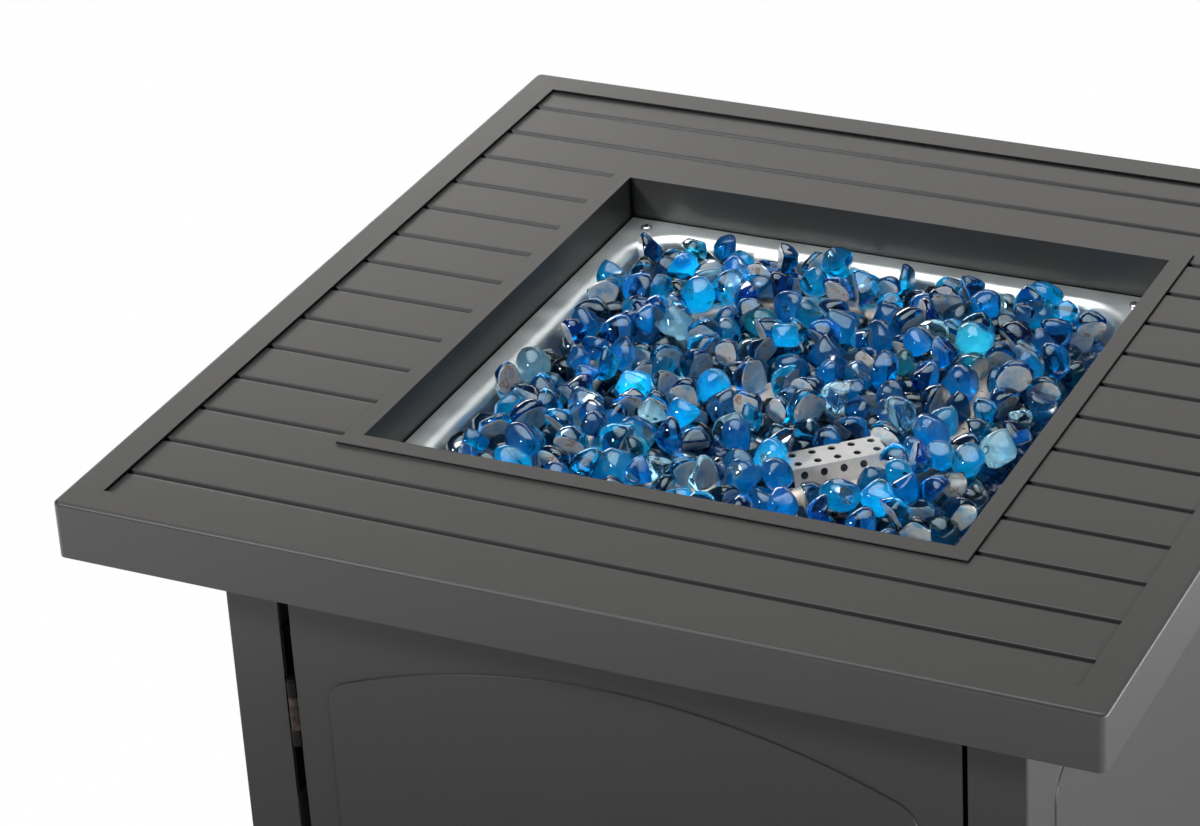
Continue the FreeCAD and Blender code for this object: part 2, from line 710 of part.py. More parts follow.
def burner_pan():
    top = pan_line(0)
    under = pan_line(-PAN_SHEET)
    outer = PAN_CORNER_RADIUS + PAN_RIM
    rim_top = V(outer, 0, PAN_TOP)
    rim_under = V(outer, 0, LEDGE_TOP)
    floor_top = V(0, 0, PAN_FLOOR)
    floor_under = V(0, 0, PAN_UNDER)
    edges = [line(rim_top, top[0]), arc(*top[0:3]), line(top[2], top[3]), arc(*top[3:6]),
             line(top[5], floor_top), line(floor_top, floor_under), line(floor_under, under[5]),
             arc(*under[5:2:-1]), line(under[3], under[2]), arc(*under[2::-1]),
             line(under[0], rim_under), line(rim_under, rim_top)]
    pieces = swept_round_square(Part.Face(Part.Wire(edges)))
    pieces.append(box(-PAN_AXIS, PAN_AXIS, -PAN_AXIS, PAN_AXIS, PAN_UNDER, PAN_FLOOR))
    flange = box(-PAN_FLANGE_HALF, PAN_FLANGE_HALF, -PAN_FLANGE_HALF, PAN_FLANGE_HALF, LEDGE_TOP, PAN_TOP)
    mouth = PAN_AXIS + outer
    pieces.append(flange.cut(rounded_block(mouth, mouth, outer, LEDGE_TOP - CUT, PAN_TOP + CUT)))
    holes = [hole(x, y, LEDGE_TOP, M5_HOLE, PAN_SHEET) for x, y in pan_screw_places()]
    holes.append(hole(0, 0, PAN_UNDER, FEED_RADIUS + SMALL_GAP, PAN_SHEET))
    for x in (-DRAIN_PLACE, DRAIN_PLACE):
        for y in (-DRAIN_PLACE, DRAIN_PLACE):
            holes.append(hole(x, y, PAN_UNDER, DRAIN_RADIUS, PAN_SHEET))
    for x, radius in ((PROBE_OFFSET, INSULATOR_RADIUS), (-PROBE_OFFSET, THERMOCOUPLE_RADIUS)):
        holes.append(in_pilot_frame(hole(x, 0, PAN_UNDER, radius + SMALL_GAP, PAN_SHEET)))
    for x in BRACKET_SCREW_X:
        holes.append(in_pilot_frame(hole(x, BRACKET_SCREW_Y, PAN_UNDER, M4_HOLE, PAN_SHEET)))
    return cut(fuse(pieces), holes)


def pan_screws():
    return [round_head_screw(V(x, y, PAN_TOP), Z_AXIS * -1, PAN_SCREW_HEAD, PAN_SCREW_DOME, M5, PAN_SCREW)
            for x, y in pan_screw_places()]


def fire_glass_bed():
    wall = pan_line(GLASS_GAP)
    floor = V(0, 0, PAN_FLOOR + GLASS_GAP)
    middle = V(0, 0, GLASS_TOP)
    lean = math.radians(PAN_WALL_LEAN)
    rim = wall[2] - V(math.tan(lean), 0, 1) * (wall[2].z - GLASS_TOP)
    edges = [line(middle, rim), line(rim, wall[3]), arc(*wall[3:6]), line(wall[5], floor),
             line(floor, middle)]
    pieces = swept_round_square(Part.Face(Part.Wire(edges)))
    pieces.append(box(-PAN_AXIS, PAN_AXIS, -PAN_AXIS, PAN_AXIS, floor.z, GLASS_TOP))
    tools = burner_room(GLASS_GAP)
    tools.append(in_pilot_frame(shield_room()))
    return cut(fuse(pieces), tools)


def shield_reach():
    """How far the sloping face of the pilot shield comes forward, and how far it comes down."""
    slope = math.radians(SHIELD_SLOPE_ANGLE)
    return SHIELD_SLOPE * math.cos(slope), SHIELD_SLOPE * math.sin(slope)


def shield_room():
    """The space under the pilot shield, which the glass leaves free."""
    half = SHIELD_LENGTH / 2 + SHIELD_ROOM
    front = SHIELD_FOLD - shield_reach()[0] - SHIELD_ROOM
    return box(-half, half, front, SHIELD_BACK + SHIELD_FOOT + SHIELD_ROOM, PAN_FLOOR, GLASS_TOP + CUT)


def near_ring(x, y, room):
    return abs(math.hypot(x, y) - RING_RADIUS) < RING_TUBE_RADIUS + room


def drop_level(x, y, room):
    """Height of what a drop of radius room lies on: the glass, or the ring or hub that stand out of it."""
    if near_ring(x, y, room):
        return RING_TOP
    return HUB_TOP if math.hypot(x, y) < HUB_RADIUS + room else GLASS_TOP


def near_shield(x, y, room):
    turn = math.radians(PILOT_ANGLE)
    along = (x - PILOT_X) * math.cos(turn) + (y - PILOT_Y) * math.sin(turn)
    across = (y - PILOT_Y) * math.cos(turn) - (x - PILOT_X) * math.sin(turn)
    front = SHIELD_FOLD - shield_reach()[0]
    return abs(along) < SHIELD_LENGTH / 2 + room and front - room < across < SHIELD_BACK + room


def glass_drop(x, y, radius, tilt, turn):
    """A faceted drop whose lowest point touches what lies below it."""
    height = radius * DROP_FLATNESS
    rings = []
    for share, level in DROP_RINGS:
        angles = [2 * math.pi * side / DROP_SIDES for side in range(DROP_SIDES)]
        rings.append([V(share * radius * math.cos(a), share * radius * math.sin(a), level * height)
                      for a in angles])
    faces = [Part.Face(Part.makePolygon(ring + [ring[0]])) for ring in (rings[0], rings[-1])]
    for low, high in zip(rings, rings[1:]):
        for side in range(DROP_SIDES):
            after = (side + 1) % DROP_SIDES
            corners = [low[side], low[after], high[after], high[side], low[side]]
            faces.append(Part.Face(Part.makePolygon(corners)))
    drop = Part.makeSolid(Part.makeShell(faces))
    drop.rotate(ORIGIN, X_AXIS, tilt)
    drop.rotate(ORIGIN, Z_AXIS, turn)
    level = drop_level(x, y, radius) + DROP_REST_GAP
    drop.translate(V(x, y, level - drop.BoundBox.ZMin))
    return drop


def fire_glass_drops():
    chance = random.Random(DROP_SEED)
    reach = PAN_MOUTH_HALF - PAN_LIP_RADIUS - DROP_RADIUS_MAX - DROP_WALL_GAP
    row_step = DROP_PITCH * math.sqrt(3) / 2
    rows = int(reach / row_step)
    columns = int(reach / DROP_PITCH) + 1
    drops = []
    for row in range(-rows, rows + 1):
        for column in range(-columns, columns + 1):
            x = (column + 0.5 * (row % 2)) * DROP_PITCH + chance.uniform(-DROP_JITTER, DROP_JITTER)
            y = row * row_step + chance.uniform(-DROP_JITTER, DROP_JITTER)
            radius = chance.uniform(DROP_RADIUS_MIN, DROP_RADIUS_MAX)
            tilt = chance.uniform(-DROP_TILT, DROP_TILT)
            turn = chance.uniform(0, 180)
            left_bare = near_ring(x, y, radius) and chance.random() < RING_BARE_SHARE
            past_axis = math.hypot(max(abs(x) - PAN_AXIS, 0), max(abs(y) - PAN_AXIS, 0))
            if left_bare or past_axis > reach - PAN_AXIS or near_shield(x, y, radius + DROP_SPACING):
                continue
            drops.append(glass_drop(x, y, radius, tilt, turn))
    return drops


# Burner

def burner_leg(angle, room=0.0):
    half = LEG_WIDTH / 2 + room
    inner = RING_RADIUS - LEG_SHEET / 2 - room
    upright = box(inner, RING_RADIUS + LEG_SHEET / 2 + room, -half, half, PAN_FLOOR,
                  RING_Z - RING_TUBE_RADIUS + BURNER_WALL / 2)
    foot = box(inner, RING_RADIUS + LEG_FOOT + room, -half, half, PAN_FLOOR, PAN_FLOOR + LEG_SHEET + room)
    leg = upright.fuse(foot)
    leg.rotate(ORIGIN, Z_AXIS, angle)
    return leg


def burner_room(room):
    """The burner's outside with room to spare, as separate closed bodies."""
    ring = Part.makeTorus(RING_RADIUS, RING_TUBE_RADIUS + room, V(0, 0, RING_Z), Z_AXIS)
    spoke = rod(-RING_RADIUS, 0, SPOKE_Z, SPOKE_RADIUS + room, 2 * RING_RADIUS, X_AXIS)
    hub = rod(0, 0, PAN_UNDER, HUB_RADIUS + room, GLASS_TOP + CUT - PAN_UNDER)
    return [ring, spoke, hub] + [burner_leg(angle, room) for angle in LEG_ANGLES]


def ring_burner():
    hub_low = HUB_TOP - HUB_HEIGHT
    feed_low = GAS_LINE_Z + ELBOW_SOCKET_START
    body = fuse([Part.makeTorus(RING_RADIUS, RING_TUBE_RADIUS, V(0, 0, RING_Z), Z_AXIS),
                 rod(-RING_RADIUS, 0, SPOKE_Z, SPOKE_RADIUS, 2 * RING_RADIUS, X_AXIS),
                 rod(0, 0, hub_low, HUB_RADIUS, HUB_HEIGHT),
                 rod(0, 0, feed_low, FEED_RADIUS, SPOKE_Z - feed_low)]
                + [burner_leg(angle) for angle in LEG_ANGLES])
    body = cut(body, [Part.makeTorus(RING_RADIUS, RING_TUBE_RADIUS - BURNER_WALL, V(0, 0, RING_Z), Z_AXIS),
                      rod(-RING_RADIUS, 0, SPOKE_Z, SPOKE_RADIUS - BURNER_WALL, 2 * RING_RADIUS, X_AXIS),
                      rod(0, 0, feed_low - CUT, FEED_BORE, SPOKE_Z - feed_low + CUT)])
    ports = []
    for number in range(PORT_COUNT):
        turn = 2 * math.pi * (number + 0.5) / PORT_COUNT
        ports.append(rod(RING_RADIUS * math.cos(turn), RING_RADIUS * math.sin(turn), RING_Z, PORT_RADIUS,
                         RING_TUBE_RADIUS + CUT))
    return cut(body, ports)


def burner_lock_nut():
    low = PAN_UNDER - LOCK_NUT_HEIGHT
    return hex_nut(V(0, 0, low), LOCK_NUT_FLATS, LOCK_NUT_HEIGHT, FEED_RADIUS, Z_AXIS)


def inlet_elbow():
    body = fuse([rod(0, 0, GAS_LINE_Z, ELBOW_RADIUS, ELBOW_TOP),
                 Part.makeSphere(ELBOW_RADIUS, V(0, 0, GAS_LINE_Z)),
                 rod(-ELBOW_ARM, 0, GAS_LINE_Z, ELBOW_ARM_RADIUS, ELBOW_ARM, X_AXIS)])
    feed_socket = rod(0, 0, GAS_LINE_Z + ELBOW_SOCKET_START, FEED_RADIUS, ELBOW_TOP)
    mixer_socket = rod(-ELBOW_ARM - CUT, 0, GAS_LINE_Z, MIXER_RADIUS, ELBOW_ARM + MIXER_END + CUT, X_AXIS)
    way_up = rod(0, 0, GAS_LINE_Z, GAS_WAY_RADIUS, ELBOW_TOP)
    way_in = rod(-ELBOW_ARM, 0, GAS_LINE_Z, GAS_WAY_RADIUS, ELBOW_ARM, X_AXIS)
    return cut(body, [feed_socket, mixer_socket, way_up, way_in])


def air_mixer():
    length = MIXER_END - MIXER_START
    tube = rod(MIXER_START, 0, GAS_LINE_Z, MIXER_RADIUS, length, X_AXIS)
    bore = hole(MIXER_START, 0, GAS_LINE_Z, MIXER_BORE, length, X_AXIS)
    start, end = MIXER_WINDOW
    half = MIXER_WINDOW_HALF
    past = MIXER_RADIUS + CUT
    windows = [box(start, end, -past, past, GAS_LINE_Z - half, GAS_LINE_Z + half),
               box(start, end, -half, half, GAS_LINE_Z - past, GAS_LINE_Z + past)]
    return cut(tube, [bore] + windows)


def gas_orifice():
    hex_start = MIXER_START - ORIFICE_HEX
    length = ORIFICE_TAIL + ORIFICE_HEX + ORIFICE_SPIGOT
    body = fuse([rod(MIXER_START - CUT, 0, GAS_LINE_Z, MIXER_BORE, ORIFICE_SPIGOT + CUT, X_AXIS),
                 hex_prism(V(hex_start, 0, GAS_LINE_Z), ORIFICE_FLATS, ORIFICE_HEX, X_AXIS),
                 rod(ORIFICE_START, 0, GAS_LINE_Z, HOSE_RADIUS, ORIFICE_TAIL, X_AXIS)])
    return cut(body, [hole(ORIFICE_START, 0, GAS_LINE_Z, JET_RADIUS, length, X_AXIS)])


# Pilot group

def in_pilot_frame(shape):
    """Carry a shape drawn along X about the shield's middle to its place in the ring."""
    shape.rotate(ORIGIN, Z_AXIS, PILOT_ANGLE)
    shape.translate(V(PILOT_X, PILOT_Y, 0))
    return shape


def pilot_place(along):
    turn = math.radians(PILOT_ANGLE)
    return PILOT_X + along * math.cos(turn), PILOT_Y + along * math.sin(turn)


def pilot_shield():
    half = SHIELD_LENGTH / 2
    slope = math.radians(SHIELD_SLOPE_ANGLE)
    forward, down = shield_reach()
    sheet = SHIELD_SHEET
    outline = [(SHIELD_FOLD, SHIELD_TOP),
               (SHIELD_BACK, SHIELD_TOP),
               (SHIELD_BACK, SHIELD_FOOT_TOP),
               (SHIELD_BACK + SHIELD_FOOT, SHIELD_FOOT_TOP),
               (SHIELD_BACK + SHIELD_FOOT, SHIELD_FOOT_TOP - sheet),
               (SHIELD_BACK - sheet, SHIELD_FOOT_TOP - sheet),
               (SHIELD_BACK - sheet, SHIELD_TOP - sheet),
               (SHIELD_FOLD + sheet * math.tan(slope / 2), SHIELD_TOP - sheet),
               (SHIELD_FOLD - forward + sheet * math.sin(slope),
                SHIELD_TOP - down - sheet * math.cos(slope)),
               (SHIELD_FOLD - forward, SHIELD_TOP - down)]
    body = polygon_prism([V(-half, y, z) for y, z in outline], V(2 * half, 0, 0))
    face_out = V(0, -math.sin(slope), math.cos(slope))
    tools = []
    for number in range(SHIELD_HOLES_A_ROW):
        x = (number - (SHIELD_HOLES_A_ROW - 1) / 2) * SHIELD_HOLE_PITCH
        for y in SHIELD_TOP_ROWS:
            tools.append(hole(x, y, SHIELD_TOP - sheet, SHIELD_HOLE_RADIUS, sheet))
        for drop in SHIELD_BACK_ROWS:
            tools.append(hole(x, SHIELD_BACK - sheet, SHIELD_TOP - drop, SHIELD_HOLE_RADIUS, sheet, Y_AXIS))
        y = SHIELD_FOLD - SHIELD_SLOPE_ROW * math.cos(slope) - face_out.y * sheet
        z = SHIELD_TOP - SHIELD_SLOPE_ROW * math.sin(slope) - face_out.z * sheet
        tools.append(hole(x + SHIELD_SLOPE_SHIFT, y, z, SHIELD_HOLE_RADIUS, sheet, face_out))
    for x in BRACKET_SCREW_X:
        tools.append(hole(x, BRACKET_SCREW_Y, SHIELD_FOOT_TOP - sheet, M4_HOLE, sheet))
    return in_pilot_frame(cut(body, tools))


def pilot_bracket():
    """A plate on the pan floor, under the shield's foot, that holds both probes."""
    half = SHIELD_LENGTH / 2 - SHIELD_ROOM
    plate = box(-half, half, BRACKET_FRONT, SHIELD_BACK + SHIELD_FOOT, PAN_FLOOR, PAN_FLOOR + BRACKET_SHEET)
    tools = [hole(PROBE_OFFSET, 0, PAN_FLOOR, INSULATOR_RADIUS, BRACKET_SHEET),
             hole(-PROBE_OFFSET, 0, PAN_FLOOR, THERMOCOUPLE_RADIUS, BRACKET_SHEET)]
    tools += [hole(x, BRACKET_SCREW_Y, PAN_FLOOR, M4_HOLE, BRACKET_SHEET) for x in BRACKET_SCREW_X]
    return in_pilot_frame(cut(plate, tools))


def pilot_fasteners():
    pieces = []
    for x in BRACKET_SCREW_X:
        pieces.append(m4_screw(V(x, BRACKET_SCREW_Y, SHIELD_FOOT_TOP), Z_AXIS * -1, BRACKET_SCREW))
        pieces.append(stud_nut(V(x, BRACKET_SCREW_Y, PAN_UNDER), Z_AXIS * -1))
    return [in_pilot_frame(piece) for piece in pieces]


def probe_shoulder(along, radius):
    return rod(along, 0, PAN_FLOOR + BRACKET_SHEET, radius + PROBE_SHOULDER, PROBE_SHOULDER_HEIGHT)


def electrode_insulator():
    body = fuse([rod(PROBE_OFFSET, 0, PROBE_LOW_Z, INSULATOR_RADIUS, INSULATOR_TOP - PROBE_LOW_Z),
                 probe_shoulder(PROBE_OFFSET, INSULATOR_RADIUS),
                 Part.makeCone(INSULATOR_RADIUS, INSULATOR_RADIUS / 2, INSULATOR_TIP,
                               V(PROBE_OFFSET, 0, INSULATOR_TOP), Z_AXIS)])
    bore = hole(PROBE_OFFSET, 0, PROBE_LOW_Z, ELECTRODE_RADIUS, PROBE_TIP_Z - PROBE_LOW_Z)
    return in_pilot_frame(cut(body, [bore]))


def electrode_pin():
    tip = V(PROBE_OFFSET, 0, PROBE_TIP_Z)
    length = PROBE_TIP_Z - PROBE_LOW_Z
    return in_pilot_frame(fuse([rod(PROBE_OFFSET, 0, PROBE_LOW_Z, ELECTRODE_RADIUS, length),
                                Part.makeSphere(ELECTRODE_RADIUS, tip),
                                Part.makeCylinder(ELECTRODE_RADIUS, ELECTRODE_BEAK, tip, BEAK_WAY)]))


def thermocouple_probe():
    sleeve_top = PROBE_TIP_Z - THERMOCOUPLE_TIP
    sleeve = sleeve_top - PROBE_LOW_Z
    return in_pilot_frame(fuse([rod(-PROBE_OFFSET, 0, PROBE_LOW_Z, THERMOCOUPLE_RADIUS, sleeve),
                                probe_shoulder(-PROBE_OFFSET, THERMOCOUPLE_RADIUS),
                                rod(-PROBE_OFFSET, 0, sleeve_top, THERMOCOUPLE_TIP_RADIUS, THERMOCOUPLE_TIP),
                                Part.makeSphere(THERMOCOUPLE_TIP_RADIUS, V(-PROBE_OFFSET, 0, PROBE_TIP_Z))]))


# Lines between the controls and the burner

def burner_supply_hose():
    route = [(OUTLET_X, KNOB_Y, OUTLET_TOP), (OUTLET_X, KNOB_Y, GAS_LINE_Z),
             (HOSE_TURN_X, 0, GAS_LINE_Z), (ORIFICE_START, 0, GAS_LINE_Z)]
    return tube_along("supply hose", route, HOSE_RADIUS)


def hose_nuts():
    upper = V(ORIFICE_START - HOSE_NUT_HEIGHT - CUT, 0, GAS_LINE_Z)
    return [hex_nut(V(OUTLET_X, KNOB_Y, OUTLET_TOP), HOSE_NUT_FLATS, HOSE_NUT_HEIGHT, HOSE_RADIUS, Z_AXIS),
            hex_nut(upper, HOSE_NUT_FLATS, HOSE_NUT_HEIGHT, HOSE_RADIUS, X_AXIS)]


def thermocouple():
    x, y = pilot_place(-PROBE_OFFSET)
    route = [(PROBE_PORT_X, KNOB_Y, PROBE_PORT_TOP)] + list(THERMOCOUPLE_ROUTE)
    route += [(x, y, LEAD_RUN_Z + PROBE_TURN_RISE), (x, y, PROBE_LOW_Z + CUT)]
    return fuse([thermocouple_probe(), tube_along("thermocouple lead", route, LEAD_RADIUS)])


def ignition_lead():
    x, y = pilot_place(PROBE_OFFSET)
    route = [(SPARK_PORT_X, IGNITER_Y, SPARK_PORT_TOP)] + list(IGNITION_ROUTE)
    route += [(x, y, LEAD_RUN_Z - CUT), (x, y, PROBE_LOW_Z)]
    return tube_along("ignition lead", route, LEAD_RADIUS)


# Controls

def control_screw_places():
    return [(y, CONTROL_Z + z) for y in (-CONTROL_SCREW_Y, CONTROL_SCREW_Y)
            for z in (-CONTROL_SCREW_Z, CONTROL_SCREW_Z)]


def valve_screw_places():
    return [(KNOB_Y + side * VALVE_SCREW_Y, CONTROL_Z + side * VALVE_SCREW_Z) for side in (-1, 1)]


def control_panel():
    plate = rounded_block(CONTROL_HALF_HEIGHT, CONTROL_HALF_WIDTH, CONTROL_CORNER, 0, CONTROL_PLATE)
    plate = plate.makeChamfer(CONTROL_PLATE / 2, top_edges(plate, CONTROL_PLATE))
    plate.rotate(ORIGIN, Y_AXIS, -90)
    plate.translate(V(PLATE_BACK, 0, CONTROL_Z))
    tools = [hole(PLATE_FRONT, KNOB_Y, CONTROL_Z, STEM_HOLE_RADIUS, CONTROL_PLATE, X_AXIS),
             hole(PLATE_FRONT, IGNITER_Y, CONTROL_Z, IGNITER_RADIUS + SMALL_GAP, CONTROL_PLATE, X_AXIS)]
    tools += [hole(PLATE_FRONT, y, z, M4_HOLE, CONTROL_PLATE, X_AXIS)
              for y, z in control_screw_places() + valve_screw_places()]
    return cut(plate, tools)


def control_screws():
    screws = [m4_screw(V(PLATE_FRONT, y, z), X_AXIS, CONTROL_SCREW) for y, z in control_screw_places()]
    return screws + [m4_screw(V(PLATE_FRONT, y, z), X_AXIS, VALVE_SCREW) for y, z in valve_screw_places()]


def valve_block(x0, x1):
    return box(x0, x1, KNOB_Y - VALVE_HALF_WIDTH, KNOB_Y + VALVE_HALF_WIDTH, CONTROL_Z - VALVE_HALF_HEIGHT,
               VALVE_TOP)


def valve_bonnet():
    depth = BONNET_BACK - PLATE_BACK
    bore = hole(PLATE_BACK, KNOB_Y, CONTROL_Z, STEM_RADIUS + SMALL_GAP, depth, X_AXIS)
    spring_room = rod(BONNET_BACK - SPRING_ROOM, KNOB_Y, CONTROL_Z, SPRING_ROOM_RADIUS, SPRING_ROOM + CUT,
                      X_AXIS)
    screw_holes = [hole(PLATE_BACK, y, z, M4_HOLE, depth, X_AXIS) for y, z in valve_screw_places()]
    return cut(valve_block(PLATE_BACK, BONNET_BACK), [bore, spring_room] + screw_holes)


def gas_valve_body():
    body = fuse([valve_block(BONNET_BACK, VALVE_BACK),
                 rod(OUTLET_X, KNOB_Y, VALVE_TOP - CUT, OUTLET_RADIUS, OUTLET_RISE + CUT),
                 rod(OUTLET_X, KNOB_Y, INLET_SEAT, INLET_BOSS_RADIUS, INLET_BOSS_DROP + CUT),
                 rod(PROBE_PORT_X, KNOB_Y, VALVE_TOP - CUT, PROBE_PORT_RADIUS, PROBE_PORT_RISE + CUT)])
    plug_bore = rod(BONNET_BACK - CUT, KNOB_Y, CONTROL_Z, PLUG_RADIUS + STEM_CLEARANCE,
                    PLUG_END - BONNET_BACK + CUT + PLUG_END_GAP, X_AXIS)
    gas_way = hole(OUTLET_X, KNOB_Y, INLET_SEAT, VALVE_WAY_RADIUS, OUTLET_TOP - INLET_SEAT)
    screw_holes = [rod(BONNET_BACK - CUT, y, z, M4_HOLE, VALVE_SCREW_POCKET + CUT, X_AXIS)
                   for y, z in valve_screw_places()]
    return cut(body, [plug_bore, gas_way] + screw_holes)


def d_rod(x0, x1, radius, flat):
    """A rod along X about the stem's axis, with one flat on its upper side."""
    bar = rod(x0, KNOB_Y, CONTROL_Z, radius, x1 - x0, X_AXIS)
    keep = box(x0, x1, KNOB_Y - radius, KNOB_Y + radius, CONTROL_Z - radius, CONTROL_Z + flat)
    return bar.common(keep)


def valve_plug():
    start = BONNET_BACK + PLUG_END_GAP
    plug = rod(start, KNOB_Y, CONTROL_Z, PLUG_RADIUS, PLUG_END - PLUG_END_GAP - start, X_AXIS)
    socket = d_rod(BONNET_BACK, BONNET_BACK + STEM_SOCKET, STEM_RADIUS + STEM_CLEARANCE,
                   STEM_FLAT + STEM_CLEARANCE)
    cross_way = hole(OUTLET_X, KNOB_Y - PLUG_RADIUS, CONTROL_Z, PLUG_WAY_RADIUS, 2 * PLUG_RADIUS, Y_AXIS)
    return cut(plug, [socket, cross_way])


def valve_stem():
    round_part = rod(STEM_FRONT, KNOB_Y, CONTROL_Z, STEM_RADIUS, STEM_SHOULDER - STEM_FRONT, X_AXIS)
    return fuse([round_part, d_rod(STEM_SHOULDER, STEM_END, STEM_RADIUS, STEM_FLAT)])


def control_knob():
    skirt_front = KNOB_BACK - KNOB_SKIRT
    crown_length = skirt_front - KNOB_FRONT
    skirt = rod(skirt_front, KNOB_Y, CONTROL_Z, KNOB_RADIUS, KNOB_SKIRT, X_AXIS)
    skirt = skirt.makeChamfer(KNOB_SKIRT_EDGE, front_edges(skirt, skirt_front))
    crown = rod(KNOB_FRONT, KNOB_Y, CONTROL_Z, KNOB_CROWN_RADIUS, crown_length, X_AXIS)
    crown = crown.makeFillet(KNOB_SKIRT_EDGE, front_edges(crown, KNOB_FRONT))
    scoops = [rod(KNOB_FRONT - CUT, KNOB_Y + side * KNOB_SCOOP_PLACE, CONTROL_Z, KNOB_SCOOP_RADIUS,
                  crown_length - KNOB_SCOOP_FLOOR + CUT, X_AXIS) for side in (-1, 1)]
    hollow = rod(KNOB_BACK - KNOB_HOLLOW, KNOB_Y, CONTROL_Z, KNOB_RADIUS - KNOB_HOLLOW, KNOB_HOLLOW + CUT,
                 X_AXIS)
    post = rod(KNOB_BACK - KNOB_SKIRT, KNOB_Y, CONTROL_Z, KNOB_POST_RADIUS, KNOB_SKIRT, X_AXIS)
    stem_hole = rod(STEM_FRONT, KNOB_Y, CONTROL_Z, STEM_RADIUS, KNOB_BACK - STEM_FRONT + CUT, X_AXIS)
    pointer = box(KNOB_FRONT - CUT, KNOB_FRONT + POINTER_DEPTH, KNOB_Y - POINTER_HALF, KNOB_Y + POINTER_HALF,
                  CONTROL_Z + POINTER_START, CONTROL_Z + KNOB_RADIUS)
    shell = fuse([skirt.cut(hollow), cut(crown, scoops), post])
    return cut(shell, [stem_hole, pointer])


def gas_inlet_fitting():
    nose_low = INLET_SEAT - INLET_HEX - INLET_NOSE
    tip_low = nose_low - INLET_TIP
    tip = V(OUTLET_X, KNOB_Y, tip_low)
    body = fuse([hex_prism(V(OUTLET_X, KNOB_Y, INLET_SEAT - INLET_HEX), INLET_HEX_FLATS, INLET_HEX, Z_AXIS),
                 rod(OUTLET_X, KNOB_Y, nose_low, INLET_RADIUS, INLET_NOSE + CUT),
                 Part.makeCone(INLET_TIP_RADIUS, INLET_RADIUS, INLET_TIP, tip, Z_AXIS)])
    return cut(body, [hole(OUTLET_X, KNOB_Y, tip_low, VALVE_WAY_RADIUS, INLET_SEAT - tip_low)])


def igniter_housing():
    flange_front = PLATE_FRONT - IGNITER_FLANGE
    body = fuse([rod(flange_front, IGNITER_Y, CONTROL_Z, IGNITER_FLANGE_RADIUS, IGNITER_FLANGE, X_AXIS),
                 rod(PLATE_FRONT, IGNITER_Y, CONTROL_Z, IGNITER_RADIUS, IGNITER_BACK - PLATE_FRONT, X_AXIS),
                 rod(SPARK_PORT_X, IGNITER_Y, CONTROL_Z + IGNITER_RADIUS - CUT, SPARK_PORT_RADIUS,
                     SPARK_PORT_RISE + CUT)])
    depth = IGNITER_BACK - IGNITER_END_WALL - flange_front
    bore = rod(flange_front - CUT, IGNITER_Y, CONTROL_Z, BUTTON_RADIUS + SMALL_GAP, depth + CUT, X_AXIS)
    return cut(body, [bore])


def igniter_ring_nut():
    seat = V(PLATE_BACK, IGNITER_Y, CONTROL_Z)
    return hex_nut(seat, IGNITER_NUT_FLATS, IGNITER_NUT_HEIGHT, IGNITER_RADIUS, X_AXIS)


def igniter_button():
    cap = rod(BUTTON_FRONT, IGNITER_Y, CONTROL_Z, BUTTON_RADIUS, BUTTON_BACK - BUTTON_FRONT, X_AXIS)
    cap = cap.makeFillet(BUTTON_EDGE, front_edges(cap, BUTTON_FRONT))
    dish_centre = V(BUTTON_FRONT + BUTTON_DISH_DEPTH - BUTTON_DISH_RADIUS, IGNITER_Y, CONTROL_Z)
    return cut(cap, [Part.makeSphere(BUTTON_DISH_RADIUS, dish_centre)])


def igniter_battery():
    cell_start = BATTERY_FRONT + BATTERY_NUB
    return fuse([rod(cell_start, IGNITER_Y, CONTROL_Z, BATTERY_RADIUS, BATTERY_LENGTH - BATTERY_NUB, X_AXIS),
                 rod(BATTERY_FRONT, IGNITER_Y, CONTROL_Z, BATTERY_NUB_RADIUS, BATTERY_NUB + CUT, X_AXIS)])


# Cabinet

def corner_post(at_door):
    """The post at -X -Y. The door posts have a lip beside the door, the others studs on both flanges."""
    front = -CABINET_HALF
    low, high = CABINET_BOTTOM, CABINET_TOP
    side_end = front + POST_SIDE_FLANGE
    front_end = -DOORWAY_HALF if at_door else side_end
    block = box(front, front_end, front, side_end, low, high)
    corner = [edge for edge in block.Edges
              if edge.BoundBox.XMax < front + NEAR and edge.BoundBox.YMax < front + NEAR]
    block = block.makeFillet(POST_EDGE_RADIUS, corner)
    pieces = [block.cut(box(-POST_INNER, 0, -POST_INNER, 0, low - CUT, high + CUT))]
    if at_door:
        pieces.append(box(front_end - POST_SHEET, front_end, front, front + POST_LIP, low, high))
    root = -POST_INNER - POST_SHEET / 2
    length = STUD_LENGTH + POST_SHEET / 2
    for z in STUD_HEIGHTS:
        pieces.append(rod(root, -STUD_INSET, z, M4, length, X_AXIS))
        if not at_door:
            pieces.append(rod(-STUD_INSET, root, z, M4, length, Y_AXIS))
    return fuse(pieces)


def stud_nut(seat, axis):
    return hex_nut(seat, STUD_NUT_FLATS, STUD_NUT_HEIGHT, M4 + NUT_CLEARANCE, axis)


def panel_nuts():
    nuts = []
    for z in STUD_HEIGHTS:
        backed_by_sheet = z in (STUD_HEIGHTS[0], STUD_HEIGHTS[-1])
        seat = PANEL_INNER - (RAIL_SHEET if backed_by_sheet else 0)
        for side in (-1, 1):
            for y in (-STUD_INSET, STUD_INSET):
                nuts.append(stud_nut(V(side * seat, y, z), X_AXIS * -side))
            nuts.append(stud_nut(V(side * STUD_INSET, seat, z), Y_AXIS * -1))
    return nuts


